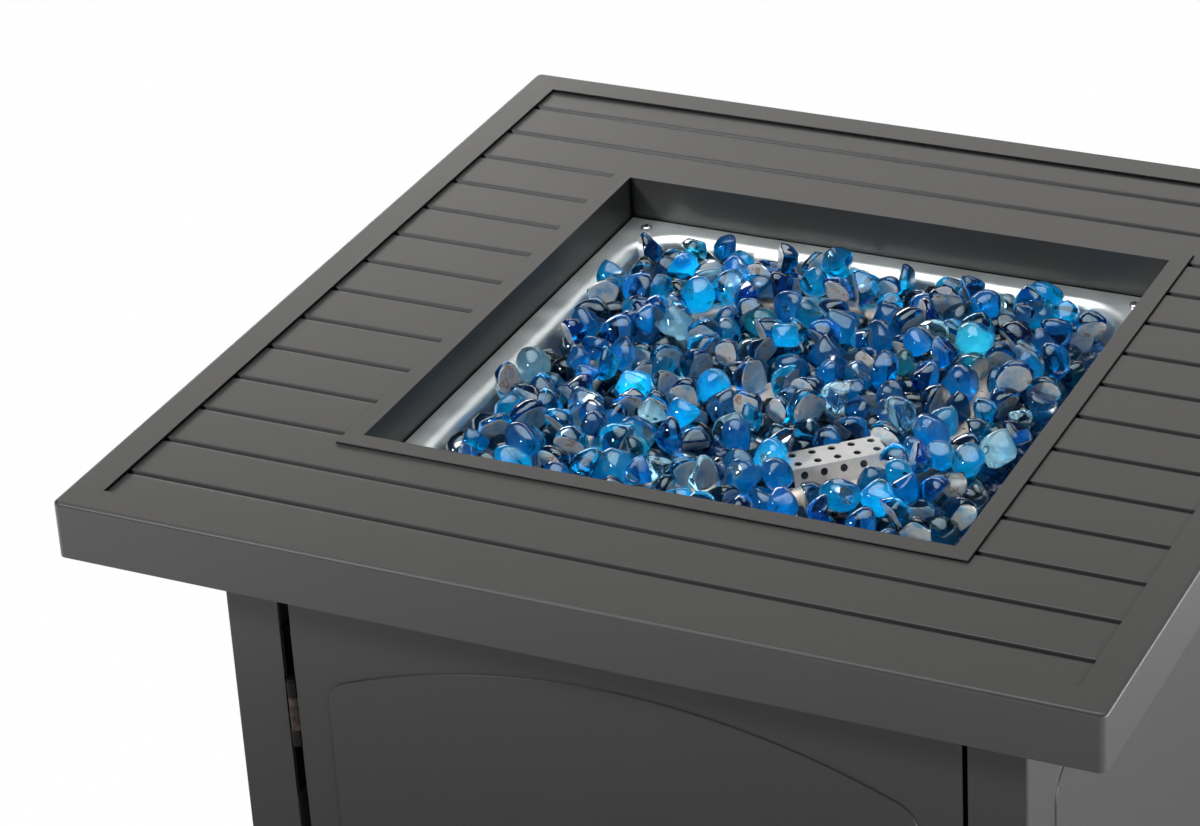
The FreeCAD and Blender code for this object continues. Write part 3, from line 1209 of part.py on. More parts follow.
def arched_plate(half, bottom, peak, y0, y1):
    """A plate with straight sides and an arched top, between two Y planes."""
    spring = peak - FIELD_RISE
    arch = arc(V(half, y0, spring), V(0, y0, peak), V(-half, y0, spring))
    sides = Part.makePolygon([V(-half, y0, spring), V(-half, y0, bottom), V(half, y0, bottom),
                              V(half, y0, spring)])
    plate = Part.Face(Part.Wire([arch] + sides.Edges)).extrude(V(0, y1 - y0, 0))
    corners = [edge for edge in plate.Edges if edge.BoundBox.YLength > abs(y1 - y0) - NEAR]
    return plate.makeFillet(FIELD_CORNER, corners)


def pressed_sheet(left, right, low, high, field_half, field_peak):
    """A sheet with its outer face on y = 0 and an arched field pressed out of it towards -Y."""
    sheet = PANEL_SHEET
    flat = box(left, right, 0, sheet, low, high)
    field = arched_plate(field_half, FIELD_BOTTOM, field_peak, sheet / 2, -FIELD_RAISE)
    rim = [edge for edge in field.Edges if edge.BoundBox.YMax < -FIELD_RAISE + NEAR]
    field = field.makeChamfer(FIELD_RAISE * FIELD_BEVEL, rim)
    inset = FIELD_RAISE * (2 - FIELD_BEVEL)
    pocket = arched_plate(field_half - inset, FIELD_BOTTOM + inset, field_peak - inset, sheet + CUT,
                          sheet - FIELD_RAISE)
    return cut(fuse([flat, field]), [pocket])


def cabinet_sheet():
    """A side or back sheet drawn facing -Y, with its stud holes."""
    sheet = pressed_sheet(-PANEL_HALF, PANEL_HALF, CABINET_BOTTOM, CABINET_TOP, SIDE_FIELD_HALF,
                          SIDE_FIELD_PEAK)
    holes = [hole(x, 0, z, M4_HOLE, PANEL_SHEET, Y_AXIS)
             for z in STUD_HEIGHTS for x in (-STUD_INSET, STUD_INSET)]
    return cut(sheet, holes)


def turned_out(sheet, angle):
    """Carry a sheet drawn facing -Y to one side of the cabinet."""
    sheet.translate(V(0, -POST_INNER, 0))
    sheet.rotate(ORIGIN, Z_AXIS, angle)
    return sheet


def side_panel_right():
    return turned_out(cabinet_sheet(), 90)


def side_panel_left():
    deep = FIELD_RAISE + PANEL_SHEET
    window = rounded_block(WINDOW_HALF_WIDTH, WINDOW_HALF_HEIGHT, WINDOW_CORNER, -deep, deep)
    window.rotate(ORIGIN, X_AXIS, 90)
    window.translate(V(0, 0, CONTROL_Z))
    holes = [hole(-y, -FIELD_RAISE, z, M4_HOLE, deep, Y_AXIS) for y, z in control_screw_places()]
    return turned_out(cut(cabinet_sheet(), [window] + holes), -90)


def back_panel():
    deep = FIELD_RAISE + PANEL_SHEET
    slots = []
    for row in range(VENT_ROWS):
        for column in range(VENT_COLUMNS):
            tool = slot(VENT_HALF_LENGTH, VENT_HALF_HEIGHT, deep)
            tool.rotate(ORIGIN, X_AXIS, 90)
            x = (column - (VENT_COLUMNS - 1) / 2) * VENT_COLUMN_PITCH
            tool.translate(V(x, PANEL_SHEET, VENT_Z + row * VENT_ROW_PITCH))
            slots.append(tool)
    return turned_out(cut(cabinet_sheet(), slots), 180)


def upper_rail(shelf_half, angle):
    """An angle drawn against the front sheet's inner face and turned to its side."""
    upright = box(-PANEL_HALF, PANEL_HALF, 0, RAIL_SHEET, CABINET_TOP - RAIL_WIDTH, CABINET_TOP)
    shelf = box(-shelf_half, shelf_half, 0, RAIL_WIDTH, CABINET_TOP - RAIL_SHEET, CABINET_TOP)
    holes = [hole(x, 0, STUD_HEIGHTS[-1], M4_HOLE, RAIL_SHEET, Y_AXIS) for x in (-STUD_INSET, STUD_INSET)]
    rail = cut(fuse([upright, shelf]), holes)
    rail.translate(V(0, -PANEL_INNER, 0))
    rail.rotate(ORIGIN, Z_AXIS, angle)
    shelf_low = CABINET_TOP - RAIL_SHEET
    return cut(rail, [hole(x, y, shelf_low, M6_HOLE, RAIL_SHEET) for x, y in top_fixing_places()])


def upper_rails():
    return [upper_rail(PANEL_HALF, 90), upper_rail(PANEL_HALF, -90), upper_rail(BACK_RAIL_HALF, 180)]


def front_rail(low, high):
    outer = box(-DOORWAY_HALF, DOORWAY_HALF, -CABINET_HALF, BASE_FRONT, low, high)
    past = DOORWAY_HALF + CUT
    hollow = box(-past, past, -CABINET_HALF + RAIL_SHEET, BASE_FRONT - RAIL_SHEET, low + RAIL_SHEET,
                 high - RAIL_SHEET)
    return cut(outer, [hollow])


def front_top_rail():
    places = [(x, y) for x, y in top_fixing_places() if y < -DOORWAY_HALF]
    holes = [hole(x, y, CABINET_TOP - RAIL_SHEET, M6_HOLE, RAIL_SHEET) for x, y in places]
    holes += [hole(x, y, TOP_RAIL_BOTTOM, DRIVER_HOLE, RAIL_SHEET) for x, y in places]
    return cut(front_rail(TOP_RAIL_BOTTOM, CABINET_TOP), holes)


def foot_places():
    return [(x, y) for x in (-FOOT_PLACE, FOOT_PLACE) for y in (-FOOT_PLACE, FOOT_PLACE)]


def base_plate():
    high = BASE_TOP + BASE_FLANGE
    outer = PANEL_INNER
    inner = outer - BASE_SHEET
    body = fuse([box(-outer, outer, BASE_FRONT, outer, CABINET_BOTTOM, BASE_TOP),
                 box(-outer, -inner, BASE_FRONT, PANEL_HALF, CABINET_BOTTOM, high),
                 box(inner, outer, BASE_FRONT, PANEL_HALF, CABINET_BOTTOM, high),
                 box(-PANEL_HALF, PANEL_HALF, inner, outer, CABINET_BOTTOM, high),
                 box(-BASE_FRONT_FLANGE_HALF, BASE_FRONT_FLANGE_HALF, BASE_FRONT, BASE_FRONT + BASE_SHEET,
                     CABINET_BOTTOM, high)])
    tools = [hole(0, 0, CABINET_BOTTOM, SEAT_RADIUS + SEAT_SHEET + SMALL_GAP, BASE_SHEET)]
    z = STUD_HEIGHTS[0]
    for side in (-1, 1):
        for y in (-STUD_INSET, STUD_INSET):
            tools.append(hole(side * outer - BASE_SHEET, y, z, M4_HOLE, 2 * BASE_SHEET, X_AXIS))
        tools.append(hole(side * STUD_INSET, inner, z, M4_HOLE, BASE_SHEET, Y_AXIS))
    tools += [hole(x, y, CABINET_BOTTOM, M5, BASE_SHEET) for x, y in foot_places()]
    for x in BASE_SLOT_X:
        for y in (-BASE_SLOT_Y, BASE_SLOT_Y):
            tool = slot(BASE_SLOT_HALF_LENGTH, BASE_SLOT_HALF_WIDTH, BASE_SHEET)
            tool.translate(V(x, y, CABINET_BOTTOM))
            tools.append(tool)
    return cut(body, tools)


def tank_seat_ring():
    outer = SEAT_RADIUS + SEAT_SHEET
    low = BASE_TOP - SEAT_DEPTH
    body = fuse([rod(0, 0, low, outer, SEAT_DEPTH + SEAT_SHEET),
                 rod(0, 0, BASE_TOP, outer + SEAT_RIM, SEAT_SHEET)])
    return cut(body, [rod(0, 0, low + SEAT_SHEET, SEAT_RADIUS, SEAT_DEPTH + CUT),
                      hole(0, 0, low, SEAT_RADIUS - SEAT_LEDGE, SEAT_SHEET)])


def rubber_feet():
    feet = []
    for x, y in foot_places():
        foot = Part.makeCone(FOOT_TIP_RADIUS, FOOT_RADIUS, CABINET_BOTTOM, V(x, y, 0), Z_AXIS)
        sole = [edge for edge in foot.Edges if edge.BoundBox.ZMax < NEAR]
        foot = foot.makeFillet(FOOT_SOLE_EDGE, sole)
        recess = rod(x, y, -CUT, FOOT_RECESS_RADIUS, FOOT_RECESS + CUT)
        feet.append(cut(foot, [recess, hole(x, y, 0, M5_HOLE, CABINET_BOTTOM)]))
    return feet


def foot_fasteners():
    pieces = []
    for x, y in foot_places():
        pieces.append(round_head_screw(V(x, y, FOOT_RECESS), Z_AXIS, FOOT_SCREW_HEAD, FOOT_SCREW_DOME, M5,
                                       FOOT_SCREW))
        pieces.append(hex_nut(V(x, y, BASE_TOP), FOOT_NUT_FLATS, FOOT_NUT_HEIGHT, M5 + NUT_CLEARANCE,
                              Z_AXIS))
    return pieces


def heat_shield():
    edge = PANEL_INNER
    sheet = HEAT_SHIELD_SHEET
    low = HEAT_SHIELD_Z - HEAT_SHIELD_FLANGE
    high = HEAT_SHIELD_Z + sheet
    front = HEAT_SHIELD_FRONT
    reach = PANEL_HALF - HEAT_SHIELD_CORNER
    body = fuse([box(-edge, edge, front, edge, HEAT_SHIELD_Z, high),
                 box(edge - sheet, edge, front, reach, low, high),
                 box(-edge, sheet - edge, front, reach, low, high),
                 box(-reach, reach, edge - sheet, edge, low, high),
                 box(-edge, edge, front, front + sheet, low, high)])
    notch = box(-edge - CUT, HEAT_SHIELD_NOTCH_X, -HEAT_SHIELD_NOTCH_HALF, HEAT_SHIELD_NOTCH_HALF, low - CUT,
                high + CUT)
    return cut(body, [notch])


# Door

def liner_screw_places():
    heights = (DOOR_BOTTOM + LINER_SCREW_END, (DOOR_BOTTOM + DOOR_TOP) / 2, DOOR_TOP - LINER_SCREW_END)
    return [(x, z) for x in (DOOR_LEFT + LINER_SCREW_INSET, DOOR_RIGHT - LINER_SCREW_INSET) for z in heights]


def door_block(inset, y0, y1):
    return box(DOOR_LEFT + inset, DOOR_RIGHT - inset, y0, y1, DOOR_BOTTOM + inset, DOOR_TOP - inset)


def door_skin():
    front = -CABINET_HALF
    sheet = DOOR_SHEET
    face = pressed_sheet(DOOR_LEFT, DOOR_RIGHT, DOOR_BOTTOM, DOOR_TOP, DOOR_FIELD_HALF, DOOR_FIELD_PEAK)
    face.translate(V(0, front, 0))
    room = door_block(sheet, front - CUT, DOOR_BACK - 2 * sheet)
    liner_seat = door_block(sheet, DOOR_BACK - sheet, DOOR_BACK + CUT)
    mouth = door_block(sheet + DOOR_LIP, DOOR_BACK - 3 * sheet, DOOR_BACK + CUT)
    walls = cut(door_block(0, front, DOOR_BACK), [room, liner_seat, mouth])
    tools = [hole(HANDLE_X, front, HANDLE_Z, M4_HOLE, sheet, Y_AXIS)]
    tools += [hole(x, DOOR_BACK - 2 * sheet, z, M4, sheet, Y_AXIS) for x, z in liner_screw_places()]
    tools += [hole(DOOR_LEFT, y, z, M4_HOLE, sheet, X_AXIS)
              for y, z in hinge_screw_places(DOOR_HINGE_SCREW_Y)]
    return cut(fuse([walls, face]), tools)


def door_liner():
    plate = door_block(DOOR_SHEET, DOOR_BACK - DOOR_SHEET, DOOR_BACK)
    tools = [hole(x, DOOR_BACK - DOOR_SHEET, z, M4_HOLE, DOOR_SHEET, Y_AXIS)
             for x, z in liner_screw_places()]
    tools.append(hole(HANDLE_X, DOOR_BACK - DOOR_SHEET, HANDLE_Z, DRIVER_HOLE, DOOR_SHEET, Y_AXIS))
    return cut(plate, tools)


def door_handle():
    seat = -CABINET_HALF
    cap = rod(HANDLE_X, seat - HANDLE_NECK - HANDLE_CAP, HANDLE_Z, HANDLE_CAP_RADIUS, HANDLE_CAP, Y_AXIS)
    rims = [edge for edge in cap.Edges if edge.BoundBox.YLength < NEAR]
    cap = cap.makeFillet(HANDLE_ROUNDING, rims)
    knob = fuse([rod(HANDLE_X, seat - HANDLE_NECK, HANDLE_Z, HANDLE_NECK_RADIUS, HANDLE_NECK, Y_AXIS),
                 rod(HANDLE_X, seat - HANDLE_BASE, HANDLE_Z, HANDLE_BASE_RADIUS, HANDLE_BASE, Y_AXIS), cap])
    return cut(knob, [rod(HANDLE_X, seat - HANDLE_SOCKET, HANDLE_Z, M4, HANDLE_SOCKET + CUT, Y_AXIS)])


def door_screws():
    screws = [flat_m4_screw(V(x, DOOR_BACK, z), Y_AXIS * -1, LINER_SCREW)
              for x, z in liner_screw_places()]
    seat = DOOR_LEFT - HINGE_LEAF
    screws += [flat_m4_screw(V(seat, y, z), X_AXIS, HINGE_SCREW)
               for y, z in hinge_screw_places(DOOR_HINGE_SCREW_Y)]
    screws.append(m4_screw(V(HANDLE_X, DOOR_SHEET - CABINET_HALF, HANDLE_Z), Y_AXIS * -1, HANDLE_SCREW))
    return screws


def magnet_catch():
    front = DOOR_BACK + CATCH_GAP
    return box(CATCH_LEFT, DOORWAY_HALF, front, front + CATCH_DEPTH, CATCH_Z[0], CATCH_Z[1])


# Hinges

def hinge_screw_places(y):
    return [(y, height + side * HINGE_SCREW_SPREAD) for height in HINGE_HEIGHTS for side in (-1, 1)]


def knuckle(start, length, wall):
    """A barrel round the hinge pin, with a tab that carries it to the leaf on the wall plane."""
    return [rod(HINGE_X, HINGE_Y, start, KNUCKLE_RADIUS, length),
            box(HINGE_X, wall, HINGE_Y - CUT, HINGE_Y + CUT, start, start + length)]


def frame_knuckle_starts(height):
    reach = DOOR_KNUCKLE / 2 + KNUCKLE_GAP
    return height - reach - FRAME_KNUCKLE, height + reach


def frame_hinge_leaves():
    leaves = []
    wall = -DOORWAY_HALF
    for height in HINGE_HEIGHTS:
        low = height - HINGE_LEAF_HEIGHT / 2
        pieces = [box(wall, wall + HINGE_LEAF, HINGE_Y, FRAME_LEAF_BACK, low, low + HINGE_LEAF_HEIGHT)]
        tools = [rod(HINGE_X, HINGE_Y, height - DOOR_KNUCKLE / 2 - KNUCKLE_GAP, KNUCKLE_RADIUS + KNUCKLE_GAP,
                     DOOR_KNUCKLE + 2 * KNUCKLE_GAP)]
        for start in frame_knuckle_starts(height):
            pieces += knuckle(start, FRAME_KNUCKLE, wall)
            tools.append(hole(HINGE_X, HINGE_Y, start, PIN_RADIUS, FRAME_KNUCKLE))
        tools += [hole(wall, y, z, M4_HOLE, HINGE_LEAF, X_AXIS)
                  for y, z in hinge_screw_places(FRAME_HINGE_SCREW_Y)]
        leaves.append(cut(fuse(pieces), tools))
    return leaves


def door_hinge_leaves():
    leaves = []
    wall = DOOR_LEFT
    for height in HINGE_HEIGHTS:
        low = height - HINGE_LEAF_HEIGHT / 2
        leaf = box(wall - HINGE_LEAF, wall, HINGE_Y, DOOR_BACK - CUT, low, low + HINGE_LEAF_HEIGHT)
        reliefs = [rod(HINGE_X, HINGE_Y, start - KNUCKLE_GAP, KNUCKLE_RADIUS + KNUCKLE_GAP,
                       FRAME_KNUCKLE + 2 * KNUCKLE_GAP) for start in frame_knuckle_starts(height)]
        start = height - DOOR_KNUCKLE / 2
        body = fuse([cut(leaf, reliefs)] + knuckle(start, DOOR_KNUCKLE, wall))
        tools = [hole(HINGE_X, HINGE_Y, start, PIN_RADIUS + PIN_CLEARANCE, DOOR_KNUCKLE)]
        tools += [hole(wall - HINGE_LEAF, y, z, M4_HOLE, HINGE_LEAF, X_AXIS)
                  for y, z in hinge_screw_places(DOOR_HINGE_SCREW_Y)]
        leaves.append(cut(body, tools))
    return leaves


def hinge_pins():
    half = DOOR_KNUCKLE / 2 + KNUCKLE_GAP + FRAME_KNUCKLE
    return [fuse([rod(HINGE_X, HINGE_Y, height - half - CUT, PIN_RADIUS, 2 * half + CUT),
                  rod(HINGE_X, HINGE_Y, height + half, PIN_RADIUS + PIN_HEAD_EDGE, PIN_HEAD)])
            for height in HINGE_HEIGHTS]


def frame_hinge_screws():
    seat = -DOORWAY_HALF + HINGE_LEAF
    return [flat_m4_screw(V(seat, y, z), X_AXIS * -1, HINGE_SCREW)
            for y, z in hinge_screw_places(FRAME_HINGE_SCREW_Y)]


# Writing the parts

def save_tabletop():
    save("top_border_frame", top_border_frame())
    save("slatted_top_panel", slatted_top_panel())
    save("fire_opening_collar", fire_opening_collar())
    save("top_stiffeners", top_stiffeners())
    save("top_fixing_screws", top_fixing_screws())


def save_burner():
    save("burner_pan", burner_pan())
    save("pan_screws", pan_screws())
    save("fire_glass_bed", fire_glass_bed())
    save("fire_glass_drops", fire_glass_drops())
    save("ring_burner", ring_burner())
    save("burner_lock_nut", burner_lock_nut())
    save("inlet_elbow", inlet_elbow())
    save("air_mixer", air_mixer())
    save("gas_orifice", gas_orifice())
    save("burner_supply_hose", burner_supply_hose())
    save("hose_nuts", hose_nuts())
    save("pilot_shield", pilot_shield())
    save("pilot_bracket", pilot_bracket())
    save("pilot_fasteners", pilot_fasteners())
    save("electrode_insulator", electrode_insulator())
    save("electrode_pin", electrode_pin())
    save("thermocouple", thermocouple())
    save("ignition_lead", ignition_lead())


def save_controls():
    save("control_panel", control_panel())
    save("control_screws", control_screws())
    save("valve_bonnet", valve_bonnet())
    save("gas_valve_body", gas_valve_body())
    save("valve_plug", valve_plug())
    save("valve_stem", valve_stem())
    save("control_knob", control_knob())
    save("gas_inlet_fitting", gas_inlet_fitting())
    save("igniter_housing", igniter_housing())
    save("igniter_ring_nut", igniter_ring_nut())
    save("igniter_button", igniter_button())
    save("igniter_battery", igniter_battery())


def save_cabinet():
    door_post = corner_post(True)
    hinge_holes = [hole(-DOORWAY_HALF - POST_SHEET, y, z, M4_HOLE, POST_SHEET, X_AXIS)
                   for y, z in hinge_screw_places(FRAME_HINGE_SCREW_Y)]
    back_post = corner_post(False).mirror(ORIGIN, Y_AXIS)
    save("corner_post_front_left", cut(door_post, hinge_holes))
    save("corner_post_front_right", door_post.mirror(ORIGIN, X_AXIS))
    save("corner_post_back_left", back_post)
    save("corner_post_back_right", back_post.mirror(ORIGIN, X_AXIS))
    save("panel_nuts", panel_nuts())
    save("side_panel_left", side_panel_left())
    save("side_panel_right", side_panel_right())
    save("back_panel", back_panel())
    save("upper_rails", upper_rails())
    save("front_top_rail", front_top_rail())
    save("front_bottom_rail", front_rail(CABINET_BOTTOM, BOTTOM_RAIL_TOP))
    save("base_plate", base_plate())
    save("tank_seat_ring", tank_seat_ring())
    save("rubber_feet", rubber_feet())
    save("foot_fasteners", foot_fasteners())
    save("heat_shield", heat_shield())


def save_door():
    save("door_skin", door_skin())
    save("door_liner", door_liner())
    save("door_screws", door_screws())
    save("door_handle", door_handle())
    save("magnet_catch", magnet_catch())
    save("frame_hinge_leaves", frame_hinge_leaves())
    save("door_hinge_leaves", door_hinge_leaves())
    save("hinge_pins", hinge_pins())
    save("frame_hinge_screws", frame_hinge_screws())


def main():
    os.makedirs("parts", exist_ok=True)
    save_tabletop()
    save_burner()
    save_controls()
    save_cabinet()
    save_door()


main()
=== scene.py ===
import json
import math

import bmesh
import bpy
import numpy as np
from mathutils import Matrix, Vector


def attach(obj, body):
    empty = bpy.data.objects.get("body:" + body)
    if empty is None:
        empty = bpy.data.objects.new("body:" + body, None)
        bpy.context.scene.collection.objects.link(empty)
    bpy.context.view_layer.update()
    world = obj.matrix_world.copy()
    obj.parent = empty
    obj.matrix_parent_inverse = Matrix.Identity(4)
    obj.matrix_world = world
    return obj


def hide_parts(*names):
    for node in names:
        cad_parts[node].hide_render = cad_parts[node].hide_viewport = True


# A dark steel gas fire pit table with blue fire glass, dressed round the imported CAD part.
# Metres throughout. The origin is on the floor under the table, +Z is up, -Y is the door side.

# Camera fitted to the photograph
CAMERA_PLACE = (0.97833, -2.18397, 1.89025)
CAMERA_YAW = math.radians(-27.07774)
CAMERA_PITCH = math.radians(28.62830)
CAMERA_ROLL = math.radians(3.53212)
CAMERA_LENS = 119.960
CAMERA_SENSOR = 36.0
CAMERA_CLIP = (0.05, 60.0)

# Keeps a divisor off zero
TINY = 1e-6

# Floor: the share of it that glows, its glow to the camera, and that in gloss close by and far off, dimmer
# close by as painted shade round the table
FLOOR_HALF = 14.0
FLOOR_COLOUR = (0.62, 0.62, 0.62)
FLOOR_GLOW = 0.95
FLOOR_WHITE = 1.03
FLOOR_IN_GLOSS = (0.13, 2.73)
FLOOR_GLOSS_REACH = (1.15, 1.45)

# Sky: strengths low down and overhead, and the heights of the view direction between which they rise
WORLD_FILL = 0.067
BACKDROP_WHITE = 1.0
SKY_THROUGH_GLASS = (0.4, 3.0)
SKY_GLASS_RISE = (0.05, 0.75)
SKY_IN_GLOSS = (0.05, 3.5)
SKY_GLOSS_RISE = (0.78, 0.88)

# Lights: name, place, what it shines at, width and height, power, colour
WHITE = (1.0, 1.0, 1.0)
COOL_WHITE = (0.97, 0.98, 1.0)
WARM_WHITE = (1.0, 0.98, 0.95)
LIGHTS = (
    ("right_side", (3.0, 0.5, 0.31), (0.0, 0.0, 0.31), (3.8, 0.6), 152.0, COOL_WHITE),
    ("front_key", (-1.35, -2.0, 2.13), (0.0, -0.2, 0.5), (0.36, 0.36), 34.0, WHITE),
    ("overhead", (-0.35, 0.0, 2.6), (0.0, 0.0, 0.6), (1.7, 1.4), 10.0, WHITE),
    ("back_left", (-3.0, 3.6, 1.6), (0.0, 0.2, 0.6), (2.0, 0.8), 41.0, WARM_WHITE),
    ("back_right", (-1.1, 3.8, 2.3), (0.0, 0.2, 0.6), (1.6, 1.0), 12.0, WARM_WHITE),
    ("back_rim", (0.56, 3.0, 2.46), (0.0, 0.0, 0.6), (1.8, 0.8), 8.0, WHITE),
)

# Range that a noise texture mostly keeps to
NOISE_LOW = 0.3
NOISE_HIGH = 0.7

# Painted shade in the powder coat's grooves and joints
SHUT_SAMPLES = 8
RECESS_REACH = 0.005
RECESS_PAINTED_SHADE = 0.03
RECESS_OPEN = (0.60, 0.96)

# Painted shade inside the pilot shield, seen through its holes
HOLLOW_REACH = 0.030
HOLLOW_PAINTED_SHADE = 0.03
HOLLOW_OPEN = (0.45, 0.90)

# Burner pan and what stands in it, as in the CAD part
BEAD_WALL = 0.1825
BEAD_CORNER = 0.040
RING_RADIUS = 0.137
RING_TUBE = 0.008
RING_Z = 0.587
SPOKE_RADIUS = 0.006
SPOKE_Z = 0.585
HUB_RADIUS = 0.016
HUB_TOP = 0.593
SHIELD_PLACE = (0.0727, -0.0768)
SHIELD_ANGLE = math.radians(42.0)
SHIELD_HALF = 0.033
SHIELD_BACK = 0.013
SHIELD_FRONT = -0.016

# Stretch of the ring that the glass leaves in sight
BARE_ARC = (math.radians(-20.0), math.radians(52.0))
BARE_ARC_HALF = 0.0045

# Lumpy glass between the beads: waves along X and along Y that the other direction bends
FILL_TOP = 0.578
FILL_CELLS = 96
FILL_RIPPLE = 0.0035
FILL_WAVES = (310.0, 290.0)
FILL_BENDS = (190.0, 170.0)
FILL_BEND_DEPTH = 2.0

# Beads of fire glass, poured as balls until there is no low spot left; pairs are ranges
GLASS_SEED = 11
BEAD_RADIUS = (0.0092, 0.0128)
BEAD_SCALE = (1.05, 1.20)
BEAD_TRIES = 20
BEAD_FILL_LIMIT = 1600
FULL_RISE = 0.004
FULL_CHANCE = 0.2

# Shares of a radius: where two balls touch, how a ball sits on the hub, and its room by the shield
BEAD_TOUCH = 0.90
HUB_SINK = 0.6
SHIELD_ROOM = 0.8
LEAST_CORNER = 0.001

# Level of the beads, with its fall to the left and back walls and to the front of the pilot shield
BEAD_LEVEL = 0.6095
WALL_DROP = 0.006
WALL_REACH = 0.045
LOW_LEVEL = 0.590
LOW_RISE = 0.5

# How a bead rolls downhill as it settles
WHOLE_TURN = 6.28
ROLL_WAYS = 8
ROLL_STEPS = (0.004, 0.004, 0.003, 0.003, 0.002, 0.002, 0.001)
ROLL_DROP = 0.0002
SHUT_OUT = 9.0

# Beads along the ring, and those that hide it before the pilot shield
RING_BEAD_PITCH = 0.0205
RING_BEAD_JITTER = 0.0035
SCREEN_BEADS = 4
SCREEN_PITCH = 0.0195
SCREEN_FRONT = 0.029
SCREEN_Z = 0.5975
SCREEN_JITTER = 0.002

# Loose beads on top, which stay below the tabletop
BEAD_EXTRAS = 22
BEAD_EXTRA_RISE = 0.012
EXTRA_ROLLS = 3
BEAD_REACH = 1.36
GLASS_CEILING = 0.6290

# Shape of a bead of radius one: a blunt cone with facets over one flat face
BEAD_SHAPES = 26
DROP_HEIGHT = (0.85, 1.25)
DROP_TAPER = (0.15, 0.55)
DROP_TAPER_POWER = 1.25
DROP_BELLY = 0.62
DROP_SIDES = (2, 5)
DROP_LOBES = (0.03, 0.13)
DROP_FACETS = (4, 8)
FACET_UPRIGHT = 0.7
FACET_REACH = (0.66, 0.90)
FACET_CUT = 0.9
SWELL_WAVES = 1.6
SWELL_SHARE = 0.02
FLAT_FACE_FROM = -0.45
TURN_CHOICE = 4

# Height from which beads are finer, and how finely the two kinds are divided
FINE_BEAD_FROM = 0.594
LOWER_BEAD_DETAIL = 2
UPPER_BEAD_DETAIL = 3

# Tints of the beads: the share of beads up to each kind, its colour, and how its strength varies
DEEP_BLUE = (0.0001, 0.205, 0.66)
AZURE = (0.0004, 0.43, 0.95)
TEAL = (0.01, 0.36, 0.56)
PALE_BLUE = (0.34, 0.70, 0.88)
BEAD_KINDS = (
    (0.52, DEEP_BLUE, (0.32, 1.10)),
    (0.90, AZURE, (0.70, 1.05)),
    (0.93, TEAL, (0.75, 1.15)),
    (1.00, PALE_BLUE, (0.85, 1.10)),
)

# Painted shade: heights between which deep beads are painted dark, and how dark
SHADE_DEPTH = (0.590, 0.606)
DEEP_BEAD_PAINTED_SHADE = 0.12

# Painted sheen over the top of a bead, as a pearly cap
SHEEN_CAP_TILT = 0.45
SHEEN_CAP_EDGE = (0.30, 0.95)
SHEEN_CAP_WEIGHT = (0.0, 0.08)

# Colours that the silvery coat runs through
LUSTRE = (
    (0.32, (0.30, 0.62, 0.88)),
    (0.43, (0.72, 0.90, 1.0)),
    (0.53, (0.97, 0.96, 0.92)),
    (0.62, (1.0, 1.0, 0.97)),
    (0.66, (0.68, 0.38, 0.19)),
    (0.69, (0.96, 0.92, 0.94)),
    (0.76, (0.60, 0.74, 0.92)),
)

# Control plate on the left side, as in the CAD part
PLATE_X = -0.2816
CONTROL_Z = 0.440
KNOB_Y = 0.032
POINTER_X = -0.310
POINTER_SPAN = (0.0065, 0.0205)
POINTER_HALF = 0.0009
IGNITER_Y = -0.038
KNOB_SWEEP_DEGREES = 180.0

# Printed marks
TICKS = 7
TICK_RADIUS = 0.031
TICK_HALF = 0.0005
TICK_LENGTH = 0.0026
WORD_OFFSET = 0.0385
WORD_SIZE = 0.006
SPARK_RISE = 0.027
SPARK_OUTLINE = (
    (0.0012, 0.006),
    (-0.003, -0.0008),
    (-0.0004, -0.0008),
    (-0.0014, -0.006),
    (0.003, 0.001),
    (0.0004, 0.001),
)
MARK_THICKNESS = 0.00012


# Node helpers

def shader_of(material):
    return material.node_tree.nodes["Principled BSDF"]


def set_sockets(material, settings):
    """Numbers and colours that are the same all over the surface."""
    for socket, value in settings.items():
        shader_of(material).inputs[socket].default_value = value


def new_material(name, colour, roughness, metallic=0.0):
    material = bpy.data.materials.new(name)
    material.use_nodes = True
    set_sockets(material, {"Base Color": (*colour, 1.0), "Roughness": roughness, "Metallic": metallic})
    return material


def node(material, kind, **settings):
    made = material.node_tree.nodes.new(kind)
    for key, value in settings.items():
        setattr(made, key, value)
    return made


def link(material, output, socket):
    material.node_tree.links.new(output, socket)


def feed(material, value, socket):
    """Give a socket a plain number or the output of another node."""
    if isinstance(value, float):
        socket.default_value = value
    else:
        link(material, value, socket)


def noise(material, scale, detail, stretch=(1.0, 1.0, 1.0)):
    """Noise over the object's own coordinates; stretch scales each axis on top of scale."""
    place = node(material, "ShaderNodeTexCoord")
    mapping = node(material, "ShaderNodeMapping")
    mapping.inputs["Scale"].default_value = stretch
    texture = node(material, "ShaderNodeTexNoise")
    texture.inputs["Scale"].default_value = scale
    texture.inputs["Detail"].default_value = detail
    link(material, place.outputs["Object"], mapping.inputs["Vector"])
    link(material, mapping.outputs["Vector"], texture.inputs["Vector"])
    return texture.outputs["Fac"]


def spread(material, value, low, high, start=NOISE_LOW, end=NOISE_HIGH):
    """A value stretched from start..end to low..high."""
    ramp = node(material, "ShaderNodeMapRange")
    ramp.inputs["From Min"].default_value = start
    ramp.inputs["From Max"].default_value = end
    ramp.inputs["To Min"].default_value = low
    ramp.inputs["To Max"].default_value = high
    link(material, value, ramp.inputs["Value"])
    return ramp.outputs["Result"]


def colour_ramp(material, value, stops):
    """A colour that runs through the stops, each a place along the value and a colour."""
    ramp = node(material, "ShaderNodeValToRGB")
    marks = ramp.color_ramp.elements
    marks[0].position = stops[0][0]
    marks[1].position = stops[-1][0]
    for place, _ in stops[1:-1]:
        marks.new(place)
    for mark, (_, colour) in zip(marks, stops):
        mark.color = (*colour, 1.0)
    link(material, value, ramp.inputs["Fac"])
    return ramp.outputs["Color"]


